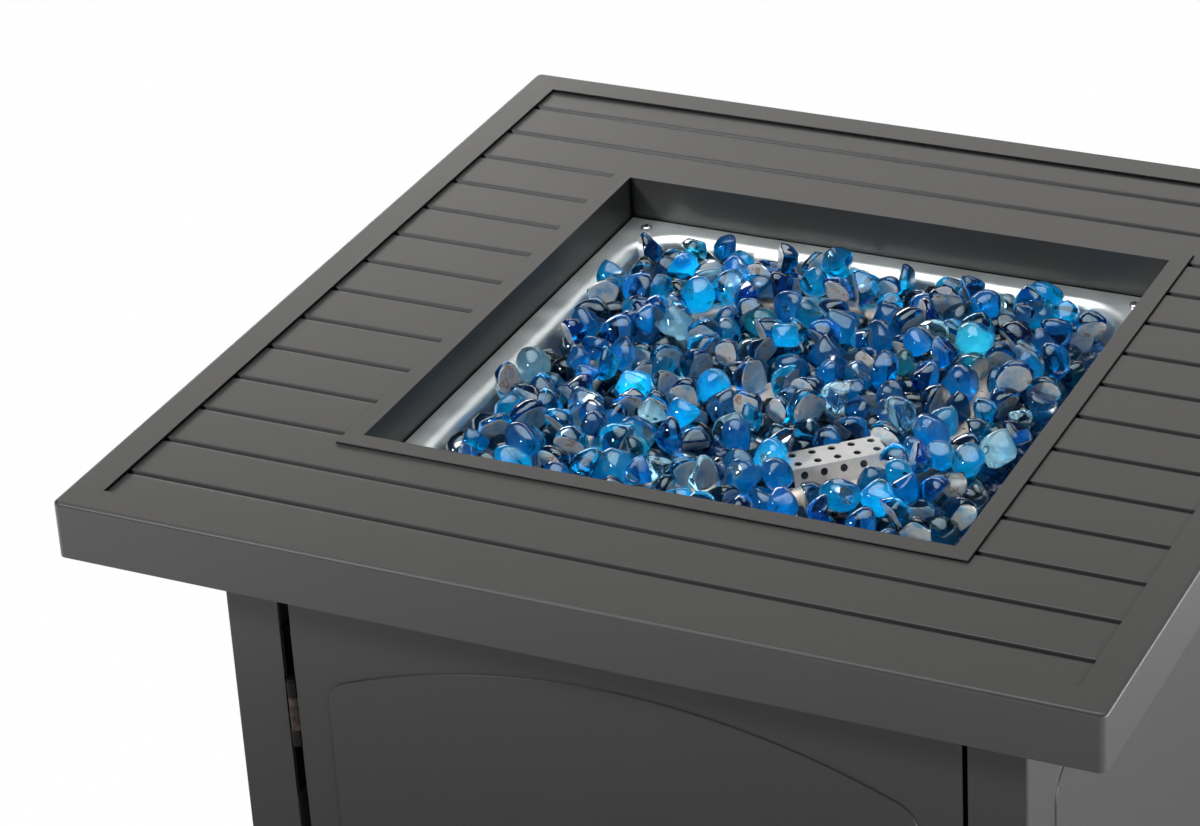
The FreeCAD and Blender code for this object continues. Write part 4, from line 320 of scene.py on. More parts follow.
def two_colours(material, value, first, second, start=NOISE_LOW, end=NOISE_HIGH):
    return colour_ramp(material, value, ((start, first), (end, second)))


def mixed(material, kind, share, first, second, **settings):
    """Values or colours mixed: all of the first at share 0, all of the second at 1."""
    mix = node(material, "ShaderNodeMix", data_type=kind, **settings)
    feed(material, share, mix.inputs["Factor"])
    feed(material, first, mix.inputs["A"])
    feed(material, second, mix.inputs["B"])
    return mix.outputs["Result"]


def combined(material, operation, first, second):
    """Product, greater one or the like of two values."""
    made = node(material, "ShaderNodeMath", operation=operation)
    feed(material, first, made.inputs[0])
    feed(material, second, made.inputs[1])
    return made.outputs[0]


def shade(colour, factor):
    return tuple(min(channel * factor, 1.0) for channel in colour)


def cloudy(material, colour, share, scale, stretch=(1.0, 1.0, 1.0)):
    """A colour that gets a share darker and lighter in soft clouds."""
    value = noise(material, scale, detail=4.0, stretch=stretch)
    return two_colours(material, value, shade(colour, 1 - share), shade(colour, 1 + share))


def vary_colour(material, colour, share, scale, stretch=(1.0, 1.0, 1.0)):
    tone = cloudy(material, colour, share, scale, stretch)
    link(material, tone, shader_of(material).inputs["Base Color"])


def vary_roughness(material, low, high, scale, stretch=(1.0, 1.0, 1.0)):
    value = spread(material, noise(material, scale, detail=4.0, stretch=stretch), low, high)
    link(material, value, shader_of(material).inputs["Roughness"])


def add_bump(material, scale, height, strength, stretch=(1.0, 1.0, 1.0)):
    bump = node(material, "ShaderNodeBump")
    bump.inputs["Distance"].default_value = height
    bump.inputs["Strength"].default_value = strength
    link(material, noise(material, scale, detail=2.0, stretch=stretch), bump.inputs["Height"])
    link(material, bump.outputs["Normal"], shader_of(material).inputs["Normal"])


def paint_shade_where_shut(material, tone, reach, darkest, open_share, **settings):
    """Base colour from a tone painted darker, as shade, where other faces shut the surface in within reach.
    """
    open_round = node(material, "ShaderNodeAmbientOcclusion", samples=SHUT_SAMPLES, **settings)
    open_round.inputs["Distance"].default_value = reach
    share = spread(material, open_round.outputs["AO"], darkest, 1.0, *open_share)
    shaded = node(material, "ShaderNodeVectorMath", operation="SCALE")
    link(material, tone, shaded.inputs[0])
    link(material, share, shaded.inputs["Scale"])
    link(material, shaded.outputs["Vector"], shader_of(material).inputs["Base Color"])


# Materials of the CAD nodes, one function for each kind of surface

def powder_coat():
    """Matte dark grey coat, with shade painted darker into its colour where it is shut into grooves and
    narrow gaps.
    """
    colour = (0.059, 0.058, 0.057)
    material = new_material("powder_coat", colour, roughness=0.36)
    set_sockets(material, {"Specular IOR Level": 0.34})
    tone = cloudy(material, colour, share=0.03, scale=9.0)
    paint_shade_where_shut(material, tone, RECESS_REACH, RECESS_PAINTED_SHADE, RECESS_OPEN)
    vary_roughness(material, low=0.34, high=0.38, scale=400.0)
    add_bump(material, scale=1500.0, height=0.00002, strength=0.35)
    return material


def sheet_steel(name, colour, rough_low, rough_high, metallic=1.0):
    """Zinc coated or drawn sheet: soft cloudy patches and fine rolling lines."""
    material = new_material(name, colour, rough_low, metallic)
    vary_colour(material, colour, share=0.08, scale=30.0)
    vary_roughness(material, rough_low, rough_high, scale=60.0, stretch=(0.15, 1.0, 1.0))
    add_bump(material, scale=700.0, height=0.00002, strength=0.4, stretch=(0.05, 1.0, 1.0))
    return material


def galvanised_sheet():
    return sheet_steel("galvanised_sheet", (0.34, 0.35, 0.36), rough_low=0.38, rough_high=0.56)


def drawn_stainless():
    colour = (0.76, 0.82, 0.82)
    return sheet_steel("drawn_stainless", colour, rough_low=0.34, rough_high=0.44, metallic=0.8)


def burner_steel():
    """Stainless tube that heat has dulled to beige, with darker bands."""
    brown = (0.62, 0.52, 0.42)
    cream = (0.84, 0.78, 0.69)
    material = new_material("burner_steel", (0.74, 0.66, 0.56), roughness=0.5, metallic=0.35)
    bands = noise(material, scale=26.0, detail=4.0)
    tone = two_colours(material, bands, brown, cream, start=0.32, end=0.68)
    link(material, tone, shader_of(material).inputs["Base Color"])
    vary_roughness(material, low=0.42, high=0.62, scale=90.0)
    add_bump(material, scale=800.0, height=0.00003, strength=0.5)
    return material


def hinge_steel():
    """Bare steel with a brown tarnish, both painted very dark, partly as the shade of the door gap."""
    # Tarnished and bare colours kept very dark, partly as painted shade of the door gap
    tarnish = (0.022, 0.016, 0.013)
    bare = (0.085, 0.068, 0.060)
    material = new_material("hinge_steel", (0.05, 0.04, 0.035), roughness=0.42, metallic=0.9)
    tone = two_colours(material, noise(material, scale=160.0, detail=4.0), tarnish, bare)
    link(material, tone, shader_of(material).inputs["Base Color"])
    vary_roughness(material, low=0.34, high=0.6, scale=220.0)
    add_bump(material, scale=900.0, height=0.00003, strength=0.5)
    return material


# Near-black steel for the hinge: partly a blackened finish, partly painted shade of the door gap
def blackened_and_gap_shade_steel():
    colour = (0.008, 0.0075, 0.007)
    material = new_material("blackened_and_gap_shade_steel", colour, roughness=0.5)
    set_sockets(material, {"Specular IOR Level": 0.12})
    vary_colour(material, colour, share=0.3, scale=70.0)
    vary_roughness(material, low=0.44, high=0.6, scale=160.0)
    add_bump(material, scale=1100.0, height=0.00003, strength=0.5)
    return material


def pilot_steel():
    """Pale satin plate, with shade painted dark inside where it folds round the pilot."""
    colour = (0.95, 0.94, 0.92)
    material = new_material("pilot_steel", colour, roughness=0.36, metallic=0.05)
    tone = cloudy(material, colour, share=0.05, scale=160.0)
    paint_shade_where_shut(material, tone, HOLLOW_REACH, HOLLOW_PAINTED_SHADE, HOLLOW_OPEN, only_local=True)
    vary_roughness(material, low=0.28, high=0.46, scale=220.0)
    add_bump(material, scale=900.0, height=0.00002, strength=0.4)
    return material


def bright_zinc():
    colour = (0.66, 0.67, 0.68)
    material = new_material("bright_zinc", colour, roughness=0.25, metallic=1.0)
    vary_colour(material, colour, share=0.10, scale=240.0)
    vary_roughness(material, low=0.18, high=0.34, scale=320.0)
    add_bump(material, scale=900.0, height=0.00001, strength=0.3)
    return material


def machined(name, colour):
    """Turned or cast metal with fine tool marks."""
    material = new_material(name, colour, roughness=0.3, metallic=1.0)
    vary_colour(material, colour, share=0.14, scale=120.0)
    vary_roughness(material, low=0.22, high=0.42, scale=180.0, stretch=(4.0, 1.0, 1.0))
    add_bump(material, scale=1200.0, height=0.00001, strength=0.4, stretch=(3.0, 1.0, 1.0))
    return material


def rubber(name, colour):
    material = new_material(name, colour, roughness=0.72)
    vary_colour(material, colour, share=0.2, scale=90.0)
    vary_roughness(material, low=0.62, high=0.82, scale=140.0)
    add_bump(material, scale=1800.0, height=0.00006, strength=0.6)
    return material


def moulded_plastic(name, colour, roughness):
    material = new_material(name, colour, roughness)
    vary_colour(material, colour, share=0.12, scale=60.0)
    vary_roughness(material, low=roughness - 0.05, high=roughness + 0.08, scale=160.0)
    add_bump(material, scale=2400.0, height=0.00003, strength=0.5)
    return material


def glazed_ceramic():
    colour = (0.82, 0.80, 0.75)
    material = new_material("glazed_ceramic", colour, roughness=0.2)
    vary_colour(material, colour, share=0.04, scale=130.0)
    vary_roughness(material, low=0.14, high=0.3, scale=260.0)
    add_bump(material, scale=800.0, height=0.00001, strength=0.3)
    return material


def brushed_plate():
    """Stainless plate brushed along the table's side."""
    colour = (0.36, 0.37, 0.38)
    material = new_material("brushed_plate", colour, roughness=0.3, metallic=1.0)
    vary_colour(material, colour, share=0.10, scale=500.0, stretch=(1.0, 0.03, 1.0))
    vary_roughness(material, low=0.24, high=0.40, scale=700.0, stretch=(1.0, 0.03, 1.0))
    add_bump(material, scale=1600.0, height=0.00001, strength=0.5, stretch=(1.0, 0.02, 1.0))
    return material


def cad_materials():
    """The material of each of the record's slots; the glass has its own pieces."""
    return {
        "painted": powder_coat(),
        "galvanised": galvanised_sheet(),
        "stainless": drawn_stainless(),
        "burner_steel": burner_steel(),
        "dark_steel": blackened_and_gap_shade_steel(),
        "hinge_steel": hinge_steel(),
        "pilot_steel": pilot_steel(),
        "zinc": bright_zinc(),
        "brass": machined("machined_brass", colour=(0.66, 0.50, 0.24)),
        "valve_alloy": machined("cast_alloy", colour=(0.55, 0.55, 0.56)),
        "copper": machined("copper_tube", colour=(0.70, 0.36, 0.22)),
        "rubber": rubber("black_rubber", colour=(0.022, 0.022, 0.022)),
        "lead_jacket": rubber("lead_jacket", colour=(0.24, 0.03, 0.03)),
        "ceramic": glazed_ceramic(),
        "black_plastic": moulded_plastic("black_plastic", (0.022, 0.022, 0.024), roughness=0.4),
        "button_plastic": moulded_plastic("red_plastic", (0.36, 0.02, 0.015), roughness=0.26),
        "battery_wrap": moulded_plastic("battery_wrap", (0.03, 0.03, 0.035), roughness=0.3),
        "control_plate": brushed_plate(),
    }


def dress_cad_nodes(frame):
    """Give each CAD node the material of its slot."""
    materials = cad_materials()
    for entry in frame["record"]["subparts"]:
        slot = entry["material_slot"]
        if slot in materials:
            for place in frame["nodes"][entry["node"]].material_slots:
                place.material = materials[slot]


# Fire glass

def icosphere(level):
    """Points and triangles of a round ball of radius one."""
    ball = bmesh.new()
    bmesh.ops.create_icosphere(ball, subdivisions=level, radius=1.0)
    points = np.array([vertex.co for vertex in ball.verts])
    triangles = np.array([[vertex.index for vertex in face.verts] for face in ball.faces])
    ball.free()
    return points, triangles


def random_turn(chance):
    """An evenly spread random rotation matrix."""
    matrix = np.linalg.qr(chance.normal(size=(3, 3)))[0]
    if np.linalg.det(matrix) < 0:
        matrix[:, 0] *= -1
    return matrix


def cut_facet(shape, chance):
    """Press one side of a shape nearly flat."""
    way = chance.normal(size=3)
    way[2] = abs(way[2]) * FACET_UPRIGHT
    way /= np.linalg.norm(way)
    reach = shape @ way
    limit = reach.max() * chance.uniform(*FACET_REACH)
    past = np.clip(reach - limit, 0.0, None)
    shape -= np.outer(past * FACET_CUT, way)


def drop_shape(points, chance):
    """A blunt cone over one flat face, drawn out to a few rounded sides and softly faceted."""
    shape = points.copy()
    height = chance.uniform(*DROP_HEIGHT)
    taper = chance.uniform(*DROP_TAPER)
    sides = chance.integers(*DROP_SIDES)
    around = np.arctan2(points[:, 1], points[:, 0])
    lobes = 1.0 + chance.uniform(*DROP_LOBES) * np.cos(sides * around)
    up = np.clip(shape[:, 2], 0.0, 1.0)
    down = np.clip(shape[:, 2], -1.0, 0.0)
    shape[:, :2] *= (lobes * (1.0 - taper * up ** DROP_TAPER_POWER))[:, None]
    shape[:, 2] = up * height + np.maximum(down, FLAT_FACE_FROM) * DROP_BELLY
    for _ in range(chance.integers(*DROP_FACETS)):
        cut_facet(shape, chance)
    wave = chance.normal(size=(3, 3)) * SWELL_WAVES
    shift = chance.uniform(0.0, WHOLE_TURN, size=3)
    swell = 1.0 + SWELL_SHARE * np.sin(points @ wave.T + shift).sum(axis=1)
    shape[:, :2] *= swell[:, None]
    shape[:, 2] -= 0.5 * (shape[:, 2].max() + shape[:, 2].min())
    return shape


def shield_frame(x, y):
    """Place along and across the pilot shield."""
    dx = x - SHIELD_PLACE[0]
    dy = y - SHIELD_PLACE[1]
    along = dx * math.cos(SHIELD_ANGLE) + dy * math.sin(SHIELD_ANGLE)
    across = dy * math.cos(SHIELD_ANGLE) - dx * math.sin(SHIELD_ANGLE)
    return along, across


def free_of_shield(x, y, radius):
    """Whether a bead of that radius stands clear of the pilot shield."""
    room = SHIELD_ROOM * radius
    along, across = shield_frame(x, y)
    beside = np.abs(along) > SHIELD_HALF + room
    return beside | (across > SHIELD_BACK + room) | (across < SHIELD_FRONT - room)


def off_bare_arc(x, y):
    """Whether a spot is clear of the stretch of the ring that the glass leaves in sight."""
    turn = np.arctan2(y, x)
    beside = np.abs(np.hypot(x, y) - RING_RADIUS) > BARE_ARC_HALF
    return beside | (turn < BARE_ARC[0]) | (turn > BARE_ARC[1])


def inside_pan(x, y, radius):
    """Whether a bead stays inside the pan's rounded square."""
    half = BEAD_WALL - radius
    corner = max(BEAD_CORNER - radius, LEAST_CORNER)
    past_x = np.clip(np.abs(x) - (half - corner), 0.0, None)
    past_y = np.clip(np.abs(y) - (half - corner), 0.0, None)
    return np.hypot(past_x, past_y) < corner


def free_spot(x, y, radius):
    return inside_pan(x, y, radius) & free_of_shield(x, y, radius) & off_bare_arc(x, y)


def highest_rest(x, y):
    """How high a ball may come to rest: lower by the left and back walls and before the pilot shield."""
    along, across = shield_frame(x, y)
    before = SHIELD_FRONT - across
    from_wall = min(BEAD_WALL + x, BEAD_WALL - y)
    level = BEAD_LEVEL - WALL_DROP * max(1.0 - from_wall / WALL_REACH, 0.0)
    if abs(along) > SHIELD_HALF or before < 0:
        return level
    return min(LOW_LEVEL + LOW_RISE * before, level)


def over_rod(distance, reach, axis_z):
    """Height at which a ball rests on a rod that lies at that distance, or far below if it misses."""
    inside = np.clip(reach ** 2 - distance ** 2, 0.0, None)
    return np.where(distance < reach, axis_z + np.sqrt(inside), 0.0)


def rest_height(x, y, radius, placed):
    """Height of a ball's centre when it comes down at x, y on what lies below it."""
    height = np.full(x.shape, FILL_TOP + radius)
    out = np.hypot(x, y)
    height = np.maximum(height, over_rod(np.abs(out - RING_RADIUS), radius + RING_TUBE, RING_Z))
    crossbar = over_rod(np.abs(y), radius + SPOKE_RADIUS, SPOKE_Z)
    height = np.maximum(height, np.where(out < RING_RADIUS, crossbar, 0.0))
    height = np.maximum(height, np.where(out < HUB_RADIUS + radius, HUB_TOP + HUB_SINK * radius, 0.0))
    if len(placed):
        gap = np.hypot(x[:, None] - placed[None, :, 0], y[:, None] - placed[None, :, 1])
        reach = (radius + placed[None, :, 3]) * BEAD_TOUCH
        lift = np.sqrt(np.clip(reach ** 2 - gap ** 2, 0.0, None))
        on_bead = np.where(gap < reach, placed[None, :, 2] + lift, 0.0)
        height = np.maximum(height, on_bead.max(axis=1))
    return height


def settle(x, y, radius, placed, chance, steps):
    """Let a ball roll downhill in small steps and return where it stops."""
    height = rest_height(np.array([x]), np.array([y]), radius, placed)[0]
    for step in steps:
        turns = chance.uniform(0.0, WHOLE_TURN) + np.arange(ROLL_WAYS) * 2 * math.pi / ROLL_WAYS
        near_x = x + step * np.cos(turns)
        near_y = y + step * np.sin(turns)
        near_z = rest_height(near_x, near_y, radius, placed)
        near_z = np.where(free_spot(near_x, near_y, radius), near_z, SHUT_OUT)
        best = int(np.argmin(near_z))
        if near_z[best] < height - ROLL_DROP:
            x, y, height = near_x[best], near_y[best], near_z[best]
    return x, y, height


def random_spots(chance, count, radius):
    """Up to that many free spots, out of three times as many random ones."""
    x = chance.uniform(-BEAD_WALL, BEAD_WALL, count * 3)
    y = chance.uniform(-BEAD_WALL, BEAD_WALL, count * 3)
    good = free_spot(x, y, radius)
    return x[good][:count], y[good][:count]


def ring_beads(chance):
    """Balls lying along the crest of the ring, apart from the stretch that stays bare."""
    rows = []
    for turn in np.arange(BARE_ARC[1], BARE_ARC[0] + 2 * math.pi, RING_BEAD_PITCH / RING_RADIUS):
        radius = chance.uniform(*BEAD_RADIUS)
        out = RING_RADIUS + chance.uniform(-RING_BEAD_JITTER, RING_BEAD_JITTER)
        x = out * math.cos(turn)
        y = out * math.sin(turn)
        z = RING_Z + math.sqrt((radius + RING_TUBE) ** 2 - (out - RING_RADIUS) ** 2)
        if free_of_shield(x, y, radius) and z < highest_rest(x, y):
            rows.append([x, y, z, radius])
    return np.array(rows)


def screen_beads(chance):
    """Low balls outside the ring that hide its stretch in front of the pilot shield."""
    rows = []
    cos_turn, sin_turn = math.cos(SHIELD_ANGLE), math.sin(SHIELD_ANGLE)
    for number in range(SCREEN_BEADS):
        along = (number - (SCREEN_BEADS - 1) / 2) * SCREEN_PITCH
        across = SHIELD_FRONT - SCREEN_FRONT + chance.uniform(-SCREEN_JITTER, SCREEN_JITTER)
        x = SHIELD_PLACE[0] + along * cos_turn - across * sin_turn
        y = SHIELD_PLACE[1] + along * sin_turn + across * cos_turn
        z = SCREEN_Z + chance.uniform(-SCREEN_JITTER, SCREEN_JITTER)
        rows.append([x, y, z, chance.uniform(*BEAD_RADIUS)])
    return np.array(rows)


def pour_beads(chance):
    """Pour balls into the pan until it is level, then scatter some more; rows of x, y, z, radius."""
    placed = np.vstack([ring_beads(chance), screen_beads(chance)])
    for _ in range(BEAD_FILL_LIMIT):
        radius = chance.uniform(*BEAD_RADIUS)
        x, y = random_spots(chance, BEAD_TRIES, radius)
        heights = rest_height(x, y, radius, placed)
        lowest = int(np.argmin(heights))
        x, y, z = settle(x[lowest], y[lowest], radius, placed, chance, ROLL_STEPS)
        if z <= highest_rest(x, y):
            placed = np.vstack([placed, [x, y, z, radius]])
        elif heights.min() > BEAD_LEVEL + FULL_RISE and chance.uniform() < FULL_CHANCE:
            break
    for _ in range(BEAD_EXTRAS):
        radius = chance.uniform(*BEAD_RADIUS)
        x, y = random_spots(chance, 1, radius)
        if not len(x):
            continue
        x, y, z = settle(x[0], y[0], radius, placed, chance, ROLL_STEPS[:EXTRA_ROLLS])
        if z < min(highest_rest(x, y) + BEAD_EXTRA_RISE, GLASS_CEILING - BEAD_REACH * radius):
            placed = np.vstack([placed, [x, y, z, radius]])
    return placed


def bead_tint(chance):
    """Tint of one bead: mostly deep blue, some azure, a few teal or pale."""
    kind = chance.uniform()
    colour, strength = next((tint, span) for share, tint, span in BEAD_KINDS if kind < share)
    return np.clip(np.array(colour) * chance.uniform(*strength), 0.0, 1.0)


def painted_sheen_cap(way_out, chance):
    """How strongly painted sheen covers each point of a bead: a pearly cap about a direction that is mostly
    up.
    """
    way = chance.normal(size=3) * SHEEN_CAP_TILT + (0.0, 0.0, 1.0)
    way /= np.linalg.norm(way)
    facing = way_out @ way / np.maximum(np.linalg.norm(way_out, axis=1), TINY)
    cap = np.clip((facing - SHEEN_CAP_EDGE[0]) / (SHEEN_CAP_EDGE[1] - SHEEN_CAP_EDGE[0]), 0.0, 1.0)
    return cap * chance.uniform(*SHEEN_CAP_WEIGHT)


def lustre(material):
    """Colours of the silvery coat: grey blue and cream with small rusty and violet stains."""
    return colour_ramp(material, noise(material, scale=95.0, detail=2.0), LUSTRE)


def bead_glass():
    """Clear tinted glass under a pale painted sheen on its upper side, silvered in patches."""
    material = new_material("blue_glass", (0.01, 0.2, 0.7), roughness=0.03)
    set_sockets(material, {
        "IOR": 1.52,
        "Specular Tint": (0.66, 0.92, 1.0, 1.0),
        "Coat Weight": 0.2,
        "Coat IOR": 1.6,
        "Coat Roughness": 0.03,
    })
    tint = node(material, "ShaderNodeAttribute", attribute_name="bead_colour").outputs["Color"]
    cloud = two_colours(material, noise(material, scale=90.0, detail=2.0), (0.70, 0.76, 0.84), WHITE)
    body = mixed(material, "RGBA", 1.0, tint, cloud, blend_type="MULTIPLY")
    # Pale painted sheen over the upper side of each bead, broken up by noise
    sheen_cover = node(material, "ShaderNodeAttribute", attribute_name="painted_top_sheen").outputs["Fac"]
    sheen_breakup = spread(material, noise(material, scale=150.0, detail=3.0), 0.55, 1.0)
    top_sheen = combined(material, "MULTIPLY", sheen_cover, sheen_breakup)
    sheen_noise = noise(material, scale=60.0, detail=2.0)
    sheen_colour = two_colours(material, sheen_noise, (0.42, 0.66, 0.82), (0.86, 0.92, 0.94))
    under_sheen = mixed(material, "RGBA", top_sheen, body, sheen_colour)
    silver = spread(material, noise(material, scale=48.0, detail=1.0), 0.0, 0.7, start=0.66, end=0.71)
    whole = mixed(material, "RGBA", silver, under_sheen, lustre(material))
    sockets = shader_of(material).inputs
    link(material, whole, sockets["Base Color"])
    link(material, silver, sockets["Metallic"])
    link(material, spread(material, top_sheen, 0.98, 0.40, start=0.0, end=1.0), sockets["Transmission Weight"])
    link(material, spread(material, top_sheen, 0.02, 0.10, start=0.0, end=1.0), sockets["Roughness"])
    add_bump(material, scale=170.0, height=0.0005, strength=0.15)
    return material


def bead_mirror():
    """The silvered flat face of a bead."""
    material = new_material("silvered_face", (0.75, 0.82, 0.88), roughness=0.2, metallic=0.12)
    set_sockets(material, {"Coat Weight": 1.0, "Coat Roughness": 0.06})
    link(material, lustre(material), shader_of(material).inputs["Base Color"])
    vary_roughness(material, low=0.12, high=0.30, scale=260.0)
    add_bump(material, scale=200.0, height=0.0004, strength=0.3)
    return material


def glass_bead_mesh(name, beads, level, chance):
    """Beads as one mesh, each a turned and scaled copy of one of a few shapes."""
    points, triangles = icosphere(level)
    shapes = [drop_shape(points, chance) for _ in range(BEAD_SHAPES)]
    flat = points[triangles].mean(axis=1)[:, 2] < FLAT_FACE_FROM
    corners = []
    faces = []
    slots = []
    tints = []
    sheen_caps = []
    for number, (x, y, z, radius) in enumerate(beads):
        shape = shapes[chance.integers(BEAD_SHAPES)]
        size = radius * chance.uniform(*BEAD_SCALE)
        turns = [random_turn(chance) for _ in range(chance.integers(1, TURN_CHOICE))]
        flat_face_up = min(turns, key=lambda turn: turn[2, 2])
        turned = shape @ flat_face_up.T
        corners.append(turned * size + (x, y, z))
        # Painted sheen cap over the bead's upper side
        sheen_caps.append(painted_sheen_cap(turned, chance))
        faces.append(triangles + number * len(points))
        slots.append(flat.astype(np.int32))
        # Lower beads get their tint painted darker, as shade low in the pile
        depth_shade = np.interp(z, SHADE_DEPTH, (DEEP_BEAD_PAINTED_SHADE, 1.0))
        tints.append(np.tile([*(bead_tint(chance) * depth_shade), 1.0], (len(points), 1)))
    mesh = bpy.data.meshes.new(name)
    mesh.from_pydata(np.vstack(corners).tolist(), [], np.vstack(faces).tolist())
    mesh.polygons.foreach_set("material_index", np.concatenate(slots))
    mesh.polygons.foreach_set("use_smooth", np.ones(len(mesh.polygons), bool))
    colours = mesh.attributes.new("bead_colour", "FLOAT_COLOR", "POINT")
    colours.data.foreach_set("color", np.vstack(tints).astype(np.float32).ravel())
    top_sheen = mesh.attributes.new("painted_top_sheen", "FLOAT", "POINT")
    top_sheen.data.foreach_set("value", np.concatenate(sheen_caps).astype(np.float32))
    mesh.update()
    return mesh


def add_object(name, mesh, materials):
    made = bpy.data.objects.new(name, mesh)
    bpy.context.scene.collection.objects.link(made)
    for material in materials:
        mesh.materials.append(material)
    return made


def fill_material():
    """Deep blue glass seen in the gaps between the beads."""
    darkest = (0.001, 0.016, 0.07)
    brightest = (0.004, 0.13, 0.38)
    material = new_material("glass_fill", (0.004, 0.06, 0.25), roughness=0.2)
    tone = two_colours(material, noise(material, scale=60.0, detail=3.0), darkest, brightest, start=0.35)
    link(material, tone, shader_of(material).inputs["Base Color"])
    vary_roughness(material, low=0.08, high=0.35, scale=120.0)
    add_bump(material, scale=130.0, height=0.002, strength=0.6)
    return material


def glass_fill():
    """A lumpy sheet of glass under the beads, inside the pan's rounded square."""
    steps = np.linspace(-BEAD_WALL, BEAD_WALL, FILL_CELLS + 1)
    x, y = np.meshgrid(steps, steps, indexing="ij")
    core = BEAD_WALL - BEAD_CORNER
    past_x = np.clip(np.abs(x) - core, 0.0, None)
    past_y = np.clip(np.abs(y) - core, 0.0, None)
    past = np.hypot(past_x, past_y)
    shrink = np.where(past > BEAD_CORNER, BEAD_CORNER / np.maximum(past, TINY), 1.0)
    x = np.sign(x) * (np.minimum(np.abs(x), core) + past_x * shrink)
    y = np.sign(y) * (np.minimum(np.abs(y), core) + past_y * shrink)
    along_x = np.sin(x * FILL_WAVES[0] + np.sin(y * FILL_BENDS[0]) * FILL_BEND_DEPTH)
    along_y = np.sin(y * FILL_WAVES[1] + np.cos(x * FILL_BENDS[1]) * FILL_BEND_DEPTH)
    z = FILL_TOP - FILL_RIPPLE + FILL_RIPPLE * (along_x * along_y)
    points = np.stack([x, y, z], axis=-1).reshape(-1, 3)
    row = FILL_CELLS + 1
    faces = [(i * row + j, (i + 1) * row + j, (i + 1) * row + j + 1, i * row + j + 1)
             for i in range(FILL_CELLS) for j in range(FILL_CELLS)]
    mesh = bpy.data.meshes.new("fire_glass_fill")
    mesh.from_pydata(points.tolist(), [], faces)
    mesh.polygons.foreach_set("use_smooth", np.ones(len(faces), bool))
    return add_object("fire_glass_fill", mesh, [fill_material()])


def add_fire_glass():
    """Beads with lumpy glass between them, in place of the CAD part's glass."""
    chance = np.random.default_rng(GLASS_SEED)
    beads = pour_beads(chance)
    glass = [bead_glass(), bead_mirror()]
    low = beads[beads[:, 2] < FINE_BEAD_FROM]
    high = beads[beads[:, 2] >= FINE_BEAD_FROM]
    low_mesh = glass_bead_mesh("lower_beads", low, LOWER_BEAD_DETAIL, chance)
    high_mesh = glass_bead_mesh("upper_beads", high, UPPER_BEAD_DETAIL, chance)
    lower = add_object("fire_glass_lower_beads", low_mesh, glass)
    upper = add_object("fire_glass_beads", high_mesh, glass)
    fill = glass_fill()
    for piece in (lower, upper, fill):
        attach(piece, "cabinet")
    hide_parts("fire_glass_drops")
    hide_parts("fire_glass_bed")


# Marks round the controls

def flat_paint(name, colour, share):
    material = new_material(name, colour, roughness=0.5)
    vary_colour(material, colour, share, scale=300.0)
    vary_roughness(material, low=0.42, high=0.6, scale=500.0)
    return material


def outward_plate(x, y, z):
    """Frame of a mark on the control side: X along -Y, Y up, Z outwards along -X."""
    turn = Matrix(((0, 0, -1), (-1, 0, 0), (0, 1, 0))).to_4x4()
    return Matrix.Translation((x, y, z)) @ turn


def bar(half, low, high):
    """Outline of an upright bar about the middle line."""
    return [(-half, low), (half, low), (half, high), (-half, high)]


def flat_mark(name, outline, material):
    """A thin raised mark from a flat outline of points."""
    flat = bmesh.new()
    lower = [flat.verts.new((x, y, 0.0)) for x, y in outline]
    face = flat.faces.new(lower)
    raised = bmesh.ops.extrude_face_region(flat, geom=[face])
    tops = [item for item in raised["geom"] if isinstance(item, bmesh.types.BMVert)]
    bmesh.ops.translate(flat, verts=tops, vec=(0, 0, MARK_THICKNESS))
    bmesh.ops.recalc_face_normals(flat, faces=flat.faces)
    mesh = bpy.data.meshes.new(name)
    flat.to_mesh(mesh)
    flat.free()
    return add_object(name, mesh, [material])


def add_word(word, z, material):
    """A printed word over or under the knob."""
    text = bpy.data.curves.new("word_" + word, "FONT")
    text.body = word
    text.size = WORD_SIZE
    text.extrude = MARK_THICKNESS
    text.align_x = "CENTER"
    text.align_y = "CENTER"
    text.materials.append(material)
    made = bpy.data.objects.new("word_" + word, text)
    bpy.context.scene.collection.objects.link(made)
    made.matrix_world = outward_plate(PLATE_X, KNOB_Y, z)
    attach(made, "cabinet")


def add_ticks(paint):
    """Ticks round the knob, from OFF at the top to HIGH at the bottom."""
    out = Matrix.Translation((0, TICK_RADIUS, 0))
    for number in range(TICKS):
        turn = math.radians(KNOB_SWEEP_DEGREES * number / (TICKS - 1))
        tick = flat_mark("dial_tick_%d" % number, bar(TICK_HALF, 0.0, TICK_LENGTH), paint)
        spin = Matrix.Rotation(-turn, 4, "Z")
        tick.matrix_world = outward_plate(PLATE_X, KNOB_Y, CONTROL_Z) @ spin @ out
        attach(tick, "cabinet")


def add_control_marks():
    """Ticks and words round the knob, and a spark sign over the igniter."""
    paint = flat_paint("mark_paint", (0.045, 0.045, 0.048), share=0.15)
    add_ticks(paint)
    add_word("OFF", CONTROL_Z + WORD_OFFSET, paint)
    add_word("HIGH", CONTROL_Z - WORD_OFFSET, paint)
    spark = flat_mark("spark_sign", SPARK_OUTLINE, paint)
    spark.matrix_world = outward_plate(PLATE_X, IGNITER_Y, CONTROL_Z + SPARK_RISE)
    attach(spark, "cabinet")


def add_knob_pointer():
    """White paint in the knob's pointer groove."""
    paint = flat_paint("pointer_paint", (0.80, 0.80, 0.78), share=0.06)
    pointer = flat_mark("knob_pointer", bar(POINTER_HALF, *POINTER_SPAN), paint)
    pointer.matrix_world = outward_plate(POINTER_X, KNOB_Y, CONTROL_Z)
    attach(pointer, "knob")


# Floor, light and camera

def seen_directly(material):
    """One for camera, glossy and transmission rays, zero for the light that falls on things."""
    rays = node(material, "ShaderNodeLightPath").outputs
    seen = combined(material, "MAXIMUM", rays["Is Camera Ray"], rays["Is Glossy Ray"])
    return combined(material, "MAXIMUM", seen, rays["Is Transmission Ray"])


